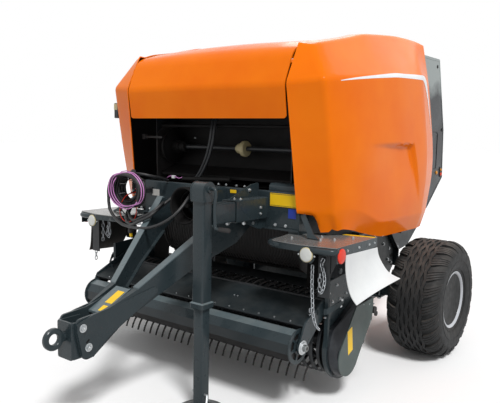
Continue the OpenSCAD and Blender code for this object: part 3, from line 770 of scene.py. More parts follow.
def shell(name, rows, thickness, body, node, outward, bright_rows=0):
    """A painted moulding, black inside; the first rows keep their colour on both faces."""
    piece = Piece(name, "orange")
    verts = [piece.points(r) for r in rows]
    for i, (a, b) in enumerate(zip(verts, verts[1:])):
        for j in range(len(a) - 1):
            piece.now = 2 if i < bright_rows else 0
            piece.face([a[j], a[j + 1], b[j + 1], b[j]])
    piece.bm.normal_update()
    if sum(f.normal.dot(Vector(outward)) * f.calc_area() for f in piece.bm.faces) < 0:
        bmesh.ops.reverse_faces(piece.bm, faces=piece.bm.faces[:])
    mesh = bpy.data.meshes.new(name)
    piece.bm.to_mesh(mesh)
    piece.bm.free()
    mesh.shade_smooth()
    obj = added(name, mesh)
    for m in ("orange", "lining", "orange", "orange"):
        mesh.materials.append(MATERIALS[m])
    wall = obj.modifiers.new("wall", "SOLIDIFY")
    wall.thickness = thickness / 1000
    wall.offset = -1
    wall.material_offset = 1
    add_bevel(obj, 2.2, 50, 3)
    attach(obj, body)
    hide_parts(node)


shell("hood_shell", hood_surface(), SKIN, "hood", "hood", (0, -0.5, 1))

# Side panel lines from the hood's edge round the front corner to the rear edge. Columns, bottom to top:
# bottom edge, chamfer, belly, crease, roof crest, inner edge
PANEL_LINES = [
    [(731, -1355, 1168), (731, -1362, 1182), (716, -1410, 1560), (700, -1465, 1958), (702, -1346, 2200),
     (700, -1335, 2206)],
    [(922, -1190, 1058), (928, -1240, 1166), (936, -1316, 1540), (925, -1398, 1975), (782, -1296, 2194),
     (700, -1288, 2202)],
    [(938, -1136, 1066), (958, -1166, 1200), (968, -1225, 1560), (945, -1290, 1986), (790, -1225, 2214),
     (700, -1210, 2228)],
    [(945, -1016, 1045), (978, -1020, 1176), (995, -1080, 1540), (962, -1110, 2000), (796, -1083, 2246),
     (700, -1073, 2254)],
    [(940, -880, 1012), (985, -880, 1132), (1006, -890, 1520), (971, -905, 2022), (799, -885, 2290),
     (700, -875, 2294)],
    [(948, -640, 962), (985, -697, 1074), (1010, -690, 1500), (975, -690, 2042), (800, -690, 2335),
     (702, -680, 2338)],
    [(948, -440, 952), (983, -450, 1068), (1011, -450, 1480), (975, -450, 2062), (800, -450, 2366),
     (702, -445, 2346)],
    [(946, -200, 948), (977, -215, 1064), (1005, -210, 1460), (966, -210, 2077), (800, -215, 2390),
     (703, -215, 2349)],
    [(944, -10, 944), (968, 10, 1058), (998, 40, 1450), (958, -50, 2088), (800, 20, 2400), (704, 20, 2349)],
    [(941, 40, 943), (962, 78, 1052), (984, 132, 1448), (946, 34, 2080), (801, 180, 2398), (762, 72, 2350)],
    [(938, 110, 950), (941, 204, 1066), (943, 336, 1442), (915, 212, 2048), (800, 338, 2392),
     (762, 332, 2374)]]
# The cut of the front facet's lower edge, from the front edge to its corner
FACET_FOOT = ((731, -1355, 1168), (760, -1332, 1164), (788, -1309, 1159), (816, -1287, 1154),
    (827, -1279, 1120), (838, -1270, 1080), (848, -1262, 1050), (885, -1226, 1053))
# Cuts of a section: plain stretches, with the rounded corners between them
PANEL_CUTS = [4] + [1] * 6 + [18] + [6] * 6 + [24] + [1] * 6 + [16] + [1] * 6 + [4]


# The hollow over the wheel: its upper edge, where its front edge meets that, that edge's lean, and its depth
HOLLOW_TOP = 1602
HOLLOW_FRONT = -220
HOLLOW_LEAN = 0.44
HOLLOW_DEPTH = 30


def panel_surface():
    """The left panel's outer face: rows of points from front edge to rear, each from bottom to top."""
    lines = []
    for level in range(6):
        first = PANEL_LINES[0][level]
        rest = [row[level] for row in PANEL_LINES[1:]]
        side = curve(rest, 18)
        line = soft_corners([first] + [side[0]] + side[9:], [0, 34] + [0] * len(side[9:]), 6)
        facet = [line[0].lerp(line[1], k / 8) for k in range(8)] if level else [Vector(p) for p in FACET_FOOT]
        lines.append(facet + line[1:])
    rows = []
    for i in range(len(lines[0])):
        levels = [line[i] for line in lines]
        row = []
        for p in divided(soft_corners(levels, [0, 16, 260, 24, 22, 0], 6), PANEL_CUTS):
            below = HOLLOW_TOP - p.z
            along = HOLLOW_FRONT + below * HOLLOW_LEAN - p.y
            scoop = step(below, 0, 26) * step(along, 0, 26) * (1 - step(below, 60, 470)) * step(p.y,
                -1000, -400)
            row.append((p.x - HOLLOW_DEPTH * scoop, p.y, p.z))
        rows.append(row)
    return rows


panel_rows = panel_surface()
across = len(panel_rows[0])
panel_tree = BVHTree.FromPolygons(
    [Vector(p) for row in panel_rows for p in row],
    [(i * across + j, i * across + j + 1, (i + 1) * across + j + 1, (i + 1) * across + j)
     for i in range(len(panel_rows) - 1) for j in range(across - 1)])


def on_panel(y, z, proud):
    """The point of the left panel's outer face at y and z, lifted off it a little."""
    hit, normal, _, _ = panel_tree.ray_cast(Vector((1300, y, z)), Vector((-1, 0, 0)))
    if hit is None:
        hit, normal, _, _ = panel_tree.find_nearest(Vector((950, y, z)))
    if normal.x < 0:
        normal = -normal
    return tuple(hit + normal * proud)


# The white stripe: y, upper z, lower z along the crease, then down beside the rear edge
STRIPE_TOP = [(-1255, 1976, 1972), (-1130, 1998, 1988), (-1000, 2018, 2003), (-860, 2037, 2018),
    (-700, 2058, 2034), (-520, 2080, 2051), (-340, 2090, 2060), (-160, 2102, 2068), (-40, 2108, 2072)]
STRIPE_EDGE = [((30, 2112), (-10, 2070)), ((98, 2104), (40, 2048)), ((128, 2056), (92, 1996)),
    ((152, 1990), (133, 1940)), ((184, 1900), (171, 1868)), ((208, 1810), (199, 1790)),
    ((228, 1730), (223, 1722)), ((240, 1676), (239, 1674))]

stripe_upper = curve([(0, y, a) for y, a, _ in STRIPE_TOP] + [(0, *a) for a, _ in STRIPE_EDGE], 8)
stripe_lower = curve([(0, y, b) for y, _, b in STRIPE_TOP] + [(0, *b) for _, b in STRIPE_EDGE], 8)
stripe_rows = [[on_panel(*a.lerp(b, k / 4).yz, 1.0) for k in range(5)]
    for a, b in zip(stripe_upper, stripe_lower)]
for sign, side_name in SIDES:
    body = "panel_" + side_name
    mirrored_rows = [[(sign * x, y, z) for x, y, z in row] for row in panel_rows]
    shell("panel_shell_" + side_name, mirrored_rows, 7, body, "side_panel_" + side_name,
        (sign, -0.2, 0.2), 13)
    stripe = Piece("panel_stripe_" + side_name, "white", sign)
    stripe.loft(stripe_rows, closed_rings=False, caps=False)
    stripe.done(body, "orange_paint", bevel=0)


# ---- Wheels ------------------------------------------------------------------------------------

TYRE_R = 437
TYRE_HALF = 202
WHEEL_X = 1100
LUGS = 22

# Half of the tyre's outer line from bead to crown, without its lugs: radius, across
TYRE_LINE = [
    (206, 160), (222, 172), (232, 176), (250, 186), (285, 197), (325, 200), (355, 196), (382, 184),
     (402, 164), (413, 140), (419, 110), (TYRE_R - 15, 70), (TYRE_R - 13, 30), (TYRE_R - 13, 0)]


def around(r, across, t):
    """A point on a wheel: radius, place across it (outwards) and angle."""
    return (WHEEL_X + across, r * cos(t), TYRE_R + r * sin(t))


# Angles of the cuts that part a shoulder lug into slices, and half of a cut's width
SIPES = (-0.098, -0.047, 0.003, 0.052, 0.098)
SIPE_HALF = 0.005
# The line of a shoulder lug from crown to sidewall: radius, across
SHOULDER = [(421, 96), (419, 118), (414, 140), (404, 161), (388, 180), (366, 191), (340, 197)]
# The crown's ribs: middle and width, across
RIBS = ((-84, 21), (-50, 22), (-17, 22), (17, 22), (50, 22), (84, 21))


def tyre(sign, name):
    piece = Piece("tyre_" + name + "_casing", "tyre", sign)
    c, d = (WHEEL_X, 0, TYRE_R), LEFT
    piece.lathe(c, d, TYRE_LINE + [(r, -a) for r, a in reversed(TYRE_LINE[:-1])], 104)
    for r0, a0 in ((240, 183), (300, 200)):
        piece.ring(c, d, [(r0, a0 - 6), (r0 - 3, a0 + 0.5), (r0 + 3, a0 + 0.5)], 104)
    piece.use("tyre_tread")
    for k, (centre, width) in enumerate(RIBS):
        rows = []
        for i in range(LUGS * 4):
            t = 2 * pi * i / (LUGS * 4)
            swing = (7 if (i // 2 + k) % 2 else -7) if i % 2 else 0
            a0, a1 = centre - width / 2 + swing, centre + width / 2 + swing
            drop = 0.0004 * (centre ** 2)
            top, low = TYRE_R - drop, TYRE_R - 18
            rows.append([around(low, a0 - 3, t), around(top, a0, t), around(top, a1, t),
                around(low, a1 + 3, t)])
        piece.loft(rows, closed_path=True)
    for end in (1, -1):
        for i in range(LUGS):
            base = 2 * pi * (i + (0.5 if end < 0 else 0)) / LUGS
            for lo, hi in zip(SIPES, SIPES[1:]):
                piece.loft(lug_rings(end, base, lo + SIPE_HALF, hi - SIPE_HALF))
    piece.done("wheel_" + name, "tyre_rubber", ("tyre_" + name,), bevel=1.2, sharp=40, segments=1)


def lug_rings(end, base, lo, hi):
    """Cross-sections of one sipe-cut slice of a curved shoulder lug, from the crown down to the sidewall."""
    rings = []
    last = len(SHOULDER) - 1
    for i, (r, a) in enumerate(SHOULDER):
        f = i / last
        sweep = -0.19 * f ** 1.4
        rise = 15 * (1 - f ** 2.4) + 2.5
        narrow = 1 - 0.12 * f
        out = Vector((cos(f * 1.35), sin(f * 1.35)))
        t0, t1 = base + sweep + lo * narrow, base + sweep + hi * narrow
        top_r, top_a = r + rise * out.x, a + rise * out.y * 0.55
        low_r, low_a = r - 6, a - 4
        if a > 150:
            top_a = min(top_a, TYRE_HALF)
        top_r = min(top_r, TYRE_R - 0.5)
        flare = 0.006
        rings.append([
            around(low_r, end * low_a, t0 - flare), around(top_r, end * top_a, t0),
            around(top_r, end * top_a, t1), around(low_r, end * low_a, t1 + flare)])
    return rings


def rim(sign, name):
    c, d = (WHEEL_X, 0, TYRE_R), LEFT
    piece = Piece("rim_" + name + "_dish", "silver", sign)
    piece.ring(c, d, [
        (191, -170), (214, -173), (215, -166), (205, -160), (199, -150), (199, -40), (178, -30), (178, 60),
         (199, 80), (199, 150), (205, 160), (213, 166), (215, 172), (210, 173.5), (198, 168), (192, 158),
         (190, 140), (187, 92), (172, 72), (168, 30), (160, 12), (132, -2), (96, -6), (86, 4), (80, 5),
         (74, 5), (74, -14), (150, -16), (160, -8), (186, -50), (188, -140)], 96)
    for k in range(6):
        t = 2 * pi * k / 6 + 0.3
        p = Vector(around(58, 8, t))
        piece.use("zinc").bolt(p + Vector((4, 0, 0)), d, 10)
    piece.use("silver").ring(c, d, [(30.6, -68), (72, -68), (72, 6), (44, 8), (42, 40), (38, 52), (30.6, 52)],
        48)
    piece.use("black").lathe(c, d, [(0.5, 44), (36, 44), (36, 56), (30, 60), (0.5, 61)], 32)
    piece.use("amber").lathe(c, d, [(0.5, 60), (13, 60), (13, 66), (0.5, 68)], 20)
    piece.use("black")
    for t in (2.3, 4.2):
        a, b = Vector(around(36, 50, t)), Vector(around(62, 38, t))
        piece.beam(a, b, 16, 6, up=d)
    piece.done("wheel_" + name, "silver_paint", ("rim_" + name,), bevel=1.0, sharp=40)


for sign, side_name in SIDES:
    tyre(sign, side_name)
    rim(sign, side_name)


# ---- Drawbar, hitch and jack -------------------------------------------------------------------

EYE_Y = -2600
EYE_Z = 530


def drawbar():
    piece = Piece("drawbar_rails", "grey")
    stations = [(-2300, 77, 12, 520, 128), (-2105, 82, 41, 600, 130), (-1800, 194, 46, 797, 161),
        (-1484, 310, 50, 956, 238), (-1346, 310, 50, 1045, 105)]
    piece.loft([[(x, y, z + h), (x + w, y, z + h), (x + w, y, z), (x, y, z)] for y, x, w, z, h in stations])
    # the flat bar that stands on each rail's upper edge, in lighter grey as a painted highlight
    piece.use("grey_painted_highlight").loft([[(x - 3, y, z + h + 8), (x + w + 3, y, z + h + 8), (x + w + 3, y, z + h - 1),
        (x - 3, y, z + h - 1)] for y, x, w, z, h in stations[1:4]]
        + [[(307, -1470, 1196), (363, -1470, 1196), (363, -1474, 1184), (307, -1474, 1184)]])
    piece.use("grey")
    cheek = [(100, 98), (88, 30), (120, -110), (150, -142), (205, -138), (400, -10), (590, 102), (600, 142),
        (570, 174), (510, 176), (270, 110)]
    outline = rounded([(EYE_Y + y, EYE_Z + z) for y, z in cheek], 26, 5)
    piece.plate(outline, 63, 77)
    # doubling plate that runs out along the rail's outer side
    piece.loft([[(x, y, z1), (x + 9, y, z1), (x + 9, y, z0), (x, y, z0)] for x, y, z0, z1 in
                ((77, -2506, 560, 602), (77, -2470, 405, 618), (77, -2400, 396, 636), (80, -2290, 486, 652),
                 (124, -2105, 612, 700), (160, -2010, 684, 734), (166, -1994, 700, 722))])
    # inner lip under the rail
    piece.loft([[(x - 26, y, z + 8), (x + 2, y, z + 8), (x + 2, y, z), (x - 26, y, z)]
        for y, x, w, z, h in stations[1:4]])
    # slots burnt into the cheek, drawn as near-black plates: painted shade in their holes
    piece.use("interior_and_painted_shade").plate(rounded([(-2452, 492), (-2430, 508), (-2424, 500), (-2446, 484)], 5, 3),
        85, 86.6)
    piece.use("grey").mirrored()
    # top plate over the apex, with the weld bead behind it, in lighter grey as a painted highlight
    piece.use("grey_painted_highlight").plate([(EYE_Y + 282, EYE_Z + 78), (EYE_Y + 488, EYE_Z + 182),
        (EYE_Y + 488, EYE_Z + 192), (EYE_Y + 282, EYE_Z + 90)], -62, 62)
    piece.box((-62, EYE_Y + 474, EYE_Z + 60), (62, EYE_Y + 488, EYE_Z + 184))
    slope = Vector((0, 206, 103)).normalized()
    normal = Vector((0, -slope.z, slope.y))
    for u0, u1, x0, x1 in ((14, 62, 6, 46), (84, 196, -8, 50)):
        a = Vector((0, EYE_Y + 282, EYE_Z + 90)) + slope * u0 + normal * 0.4
        b = a + slope * (u1 - u0)
        proud = normal * 0.8
        piece.use("yellow").loft([[(x0, *p.yz), (x1, *p.yz), (x1, *(p + proud).yz), (x0, *(p + proud).yz)]
            for p in (a, b)])
    for piece.sign in (1, -1):
        for y, z in ((-2469, 577), (-2433, 460)):
            piece.use("zinc").bolt((88, y, z), LEFT, 17)
            piece.solid((86, y, z), LEFT, [(24, 0), (24, 3)], 24)
    piece.done("chassis", "frame_paint", ("drawbar",), bevel=2)


def hitch():
    piece = Piece("hitch_block", "grey")
    ring = rounded([(-63, 400), (63, 400), (63, 612), (-63, 612)], 14, 4)
    piece.upright(ring, -2529, -2514)
    for x in (-63, 51):
        piece.box((x, -2516, 402), (x + 12, -2379, 610))
    for z in (430, 500, 570):
        piece.rod((-50, -2450 + (z - 500) * 0.1, z), (50, -2450 + (z - 500) * 0.1, z), 9)
    piece.done("chassis", "frame_paint", ("hitch_head",), bevel=2.5)
    eye = Piece("eye_ring", "grey")
    eye.ring((0, EYE_Y, EYE_Z), LEFT, [(30.5, -9), (36, -16), (56, -16), (62, -9), (62, 9), (56, 16),
        (36, 16), (30.5, 9)], 56)
    eye.beam((0, EYE_Y + 52, EYE_Z), (0, EYE_Y + 72, EYE_Z), 32, 46)
    eye.solid((0, EYE_Y + 60, EYE_Z), (0, 1, 0), [(22, 0), (22, 50)], 28)
    eye.use("zinc").rod((0, EYE_Y + 84.5, EYE_Z), (0, EYE_Y + 107.5, EYE_Z), 33, sides=6)
    eye.done("eye", "frame_paint", ("towing_eye",), bevel=2)


JACK_X = 442
JACK_Y = -1900


def jack():
    x, y = JACK_X, JACK_Y
    piece = Piece("jack_outer", "grey")
    half = 41
    piece.post(x, y, half, 9, 632, 1266)
    # the collar's sloped top in lighter grey: a painted highlight
    piece.use("grey_painted_highlight").loft([[(x + a * k, y + b * k, z) for a, b in ((-1, -1), (1, -1), (1, 1), (-1, 1))]
        for k, z in ((51, 667), (42, 675))])
    piece.use("zinc")
    for dx, y0 in ((-30, -1640), (34, -1560)):
        piece.rod((x + dx, y0, 1114), (x + dx, y0, 1092), 7, sides=10)
        piece.rod((x + dx, y0, 1106), (x + dx, y0, 1096), 14, sides=6)
    piece.use("grey")
    # collar and head flange
    for z0, z1, grow in ((640, 668, 9), (1262, 1274, 10)):
        piece.post(x, y, half + grow, 10, z0, z1)
    # half-round head with its end plates
    cap = [(y - 50, 1274)] + arc((y, 1322), 52, 180, 0, 18) + [(y + 50, 1274)]
    piece.plate(cap, x - 48, x + 48)
    edge = [(y - 52, 1272)] + arc((y, 1322), 54, 180, 0, 18) + [(y + 52, 1272)]
    piece.plate(edge, x - 50, x - 45)
    piece.plate(edge, x + 45, x + 50)
    piece.rod((x + 50, y, 1332), (x + 60, y, 1332), 22, 20)
    # crank
    piece.use("grey").tube([(x + 52, y, 1336), (x + 80, y, 1338), (x + 95, y, 1326), (x + 96, y, 1290),
        (x + 90, y, 1230), (x + 93, y, 1160), (x + 96, y, 1122), (x + 108, y, 1112), (x + 130, y, 1111)],
        10.5, 12)
    piece.use("grip").lathe((x + 126, y, 1112), LEFT, [(0.5, 0), (12, 0), (14, 4), (13, 30), (14, 60),
        (12, 74), (0.5, 75)], 20)
    # arm to the beam: an inner tube that slides in a larger sleeve
    piece.use("grey")
    for y0, y1, w, z0, z1 in ((y + half, -1660, 50, 1122, 1240), (-1660, -1341, 58, 1114, 1250)):
        square = rounded([(x - w, z0), (x + w, z0), (x + w, z1), (x - w, z1)], 8, 3)
        piece.upright(square, y0, y1)
    # a near-black plate in the sleeve's open end: painted shade inside it
    piece.use("interior_and_painted_shade").box((x - 52, -1662, 1120), (x + 52, -1658, 1244))
    piece.use("zinc")
    for at, d in (((x + 20, -1705, 1120), (0, 0, -1)), ((x - 30, -1610, 1112), (0, 0, -1)),
            ((x - 10, -1600, 1250), UP), ((x + 30, -1590, 1250), UP), ((x - 30, -1480, 1250), UP),
            ((x + 58, -1420, 1190), LEFT), ((x + 58, -1420, 1150), LEFT)):
        piece.bolt(at, d, 9)
    # gusset on the sleeve
    piece.use("grey").plate([(-1640, 1250), (-1610, 1262), (-1420, 1330), (-1352, 1338), (-1342, 1330),
        (-1342, 1250)], x - 26, x - 18)
    piece.plate([(-1560, 1113), (-1530, 1096), (-1420, 1052), (-1380, 1046), (-1342, 1058), (-1342, 1113)],
        x + 26, x + 36)
    piece.use("chrome").bolt((x - 18, -1440, 1296), LEFT, 11)
    piece.use("zinc").rod((x + 36, -1470, 1092), (x + 40, -1470, 1092), 11, sides=16)
    piece.done("chassis", "frame_paint", ("jack_tube",), bevel=2)

    leg = Piece("jack_foot_and_leg", "grey")
    leg.post(x, y, 34, 7, 48, 806)
    leg.use("worn").solid((x, y, 0), UP, [(120, 2), (134, 0), (148, 4), (150, 9), (148, 13), (134, 15),
        (96, 30), (58, 46), (40, 50)], 72)
    leg.use("zinc").tube([(x - 60, y - 6, 118), (x + 38, y - 6, 118), (x + 56, y - 10, 114),
        (x + 78, y - 40, 70), (x + 96, y - 58, 36)], 7.5, 12)
    leg.use("black")
    chain(leg, [(x + 90, y - 52, 44), (x + 104, y - 62, 22), (x + 120, y - 70, 14), (x + 140, y - 66, 14)],
        11, 3.2)
    leg.done("jack", "frame_paint", ("jack_leg",), bevel=1.5)


def chain(piece, route, link, wire, ratio=1.7):
    """Chain links along a route, each a flattened ring turned a quarter against the last."""
    pts = curve(route, 24)
    lengths = [0]
    for a, b in zip(pts, pts[1:]):
        lengths.append(lengths[-1] + (b - a).length)
    pitch = link * ratio
    count = max(2, int(lengths[-1] / pitch))
    for k in range(count):
        at = lengths[-1] * (k + 0.5) / count
        i = max(j for j in range(len(lengths)) if lengths[j] <= at)
        j = min(i + 1, len(pts) - 1)
        f = (at - lengths[i]) / max(1e-6, lengths[j] - lengths[i])
        c = pts[i].lerp(pts[j], f)
        d = (pts[j] - pts[max(0, i - 1)]).normalized()
        u, v = perpendicular(d)
        w = (u + v * 0.25).normalized() if k % 2 else (v - u * 0.25).normalized()
        ring = [c + d * link * ((0.45 if cos(t) > 0 else -0.45) + cos(t) * 0.6) + w * link * sin(t) * 0.62
            for t in turns(12)]
        piece.tube(ring, wire, 6, 1, closed=True, smooth=False)


drawbar()
hitch()
jack()


# ---- Front of the chamber ----------------------------------------------------------------------


def sticker(piece, colour, x0, x1, z0, z1, border=None):
    """A blank sticker on the beam's front."""
    y0, y1 = BEAM_FACE - 1.5, BEAM_FACE + 0.4
    piece.use(colour).box((x0, y0, z0), (x1, y1, z1))
    if border:
        for low, high in ((z1 - 7, z1 - 4), (z0 + 4, z0 + 7)):
            piece.use(border).box((x0 + 4, y0 - 0.3, low), (x1 - 4, y0 + 0.2, high))


BEAM_FACE = -1341
SHAFT = (0, -1340, 1170)


def front_frame():
    piece = Piece("beam_front", "grey")
    ring = rounded([(-1340, 1051), (-1340, 1294), (-1221, 1294), (-1221, 1051)], 14, 4)
    piece.plate(ring, -640, 739)
    piece.use("black").plate(rounded([(-1330, 1062), (-1330, 1284), (-1224, 1284), (-1224, 1062)], 10, 3),
        -739, -639)
    piece.use("grey")
    # higher box on the beam, to the left of the jack's arm
    block = rounded([(-1334, 1280), (-1334, 1322), (-1316, 1340), (-1226, 1340), (-1226, 1280)], 6, 3)
    piece.plate(block, 500, 738)
    # lips and bolts along the beam's lower edge
    piece.box((-735, -1346, 1046), (735, -1338, 1060))
    piece.use("zinc").bolts([(x, BEAM_FACE, 1078) for x in (170, 245, 330, 560, 640, -480, -590, -680)],
        AHEAD, 9)
    piece.bolts([(x, -1280, 1295) for x in (-40, 30, 100, 190, 260)], UP, 10)
    sticker(piece, "yellow", 516, 714, 1196, 1279, "grip")
    sticker(piece, "blue", 657, 716, 1128, 1188)
    sticker(piece, "yellow", 186, 238, 1254, 1276)
    sticker(piece, "pale", -566, -491, 1180, 1228)
    piece.done("chassis", "frame_paint", ("cross_beam",), bevel=2)

    guard = Piece("gearbox_guard", "grey")
    ring = rounded([(-150, 1052), (150, 1052), (150, 1290), (-150, 1290)], 18, 4)
    guard.upright(ring, -1440, BEAM_FACE)
    guard.use("lining").ring(SHAFT, AHEAD, [(103, 100), (112, 100), (114, 104), (124, 246), (126, 257),
        (119, 261), (112, 257), (103, 106)], 56)
    for r, at in ((97, 180), (80, 130)):
        guard.ring(SHAFT, AHEAD, [(r - 5, at), (r, at + 3), (r + 4, at), (r, at - 3)], 48)
    guard.use("interior_and_painted_shade").ring(SHAFT, AHEAD, [(23.5, 101), (60, 101), (58, 108), (40, 112), (23.5, 112)], 40)
    guard.use("zinc")
    for k in range(6):
        t = pi * k / 3
        guard.bolt((72 * cos(t), -1440, SHAFT[2] + 72 * sin(t)), AHEAD, 6)
    guard.done("chassis", "frame_paint", ("gearbox",), bevel=1.2)

    shaft = Piece("shaft_splines", "lining")
    profile = []
    for k in range(24):
        t = pi * k / 12
        r = 17.4 if k % 2 else 15
        profile.append((r * cos(t), SHAFT[2] + r * sin(t)))
    shaft.upright(profile, -1569, -1470)
    shaft.solid(SHAFT, AHEAD, [(22, 51), (22, 128), (18, 131)], 28)
    shaft.done("input", "bright_steel", ("input_shaft",), bevel=0.8)


SPINDLE = (0, -1130, 1545)


def chamber_front():
    inner = Piece("front_plates", "interior_and_painted_shade")
    # shelf over the beam, its tube and the dark plates behind
    inner.box((-618, -1335, 1286), (618, -1010, 1294))
    inner.rod((-300, -1290, 1316), (120, -1260, 1330), 17, sides=16)
    inner.use("grip").plate([(-1250, 1296), (-1250, 1640), (-1180, 1700), (-1000, 1700), (-1000, 1296)],
        608, 614)
    inner.plate([(-1250, 1296), (-1250, 1640), (-1180, 1700), (-1000, 1700), (-1000, 1296)], -614, -608)
    # net box behind the spindle: trough and cross bars
    inner.use("interior_and_painted_shade").plate([(-1075, 1400), (-1060, 1390), (-1010, 1500), (-1010, 1700), (-1030, 1860),
        (-1042, 1860), (-1024, 1700), (-1024, 1505)], -606, 606)
    inner.rod((-606, -1200, 1700), (606, -1200, 1700), 12, sides=16)
    inner.rod((-606, -1180, 1850), (606, -1180, 1850), 16, sides=16)
    inner.plate([(-1215, 1330), (-1215, 1350), (-1060, 1410), (-1060, 1395)], -600, 600)
    inner.use("zinc").bolts([(x, -1062 if z < 1600 else -1035, z)
        for x, z in ((-575, 1560), (-575, 1500), (-420, 1610), (480, 1640))], AHEAD, 7)
    inner.use("black")
    for dx in (0, 26):
        inner.tube([(-70 + dx, -1190, 1845), (-66 + dx, -1245, 1700), (-72 + dx, -1258, 1600),
            (-104 + dx, -1262, 1480), (-160 + dx, -1268, 1370), (-215 + dx, -1272, 1304)], 10.5, 12)
    inner.use("magenta").tube([(-462, -1290, 1312), (-420, -1300, 1330), (-372, -1294, 1326),
        (-330, -1300, 1318), (-300, -1296, 1326), (-252, -1296, 1312)], 3.6, 8)
    inner.use("white").box((-404, -1304, 1314), (-380, -1284, 1336))
    # rubber latch of the right panel with its arm
    inner.use("grip").rod((-690, -1300, 1612), (-500, -1300, 1612), 9, sides=14)
    inner.box((-704, -1316, 1594), (-676, -1284, 1632))
    inner.done("chassis", "black_paint", (), bevel=1)

    spindle = Piece("net_shaft", "black")
    c = SPINDLE
    spindle.solid(c, LEFT, [(16, -619.5), (16, 619.5)], 28)
    spindle.use("interior_and_painted_shade").ring(c, LEFT, [(18, -560), (120, -560), (129, -556), (130, -548), (129, -540),
        (120, -537), (90, -536), (84, -532), (18, -530)], 64)
    spindle.ring(c, LEFT, [(17, -528), (46, -528), (46, -470), (38, -468), (38, -420), (30, -416),
        (17, -414)], 36)
    for k in range(10):
        t = pi * k / 5
        p = Vector((-505, c[1] + 46 * cos(t), c[2] + 46 * sin(t)))
        spindle.beam(p - Vector((22, 0, 0)), p + Vector((22, 0, 0)), 8, 5, up=(0, cos(t), sin(t)))
    spindle.use("cream").ring(c, LEFT, [(16.5, 66), (22, 67), (34, 86), (35, 104), (40, 107), (41, 124),
        (55, 128), (57, 150), (50, 160), (16.5, 160)], 44)
    spindle.done("spindle", "black_paint", ("net_spindle",), bevel=0.8)


STEP_TOP = 1030
STEP_SIDE = 1133
LENS_Y = -1590


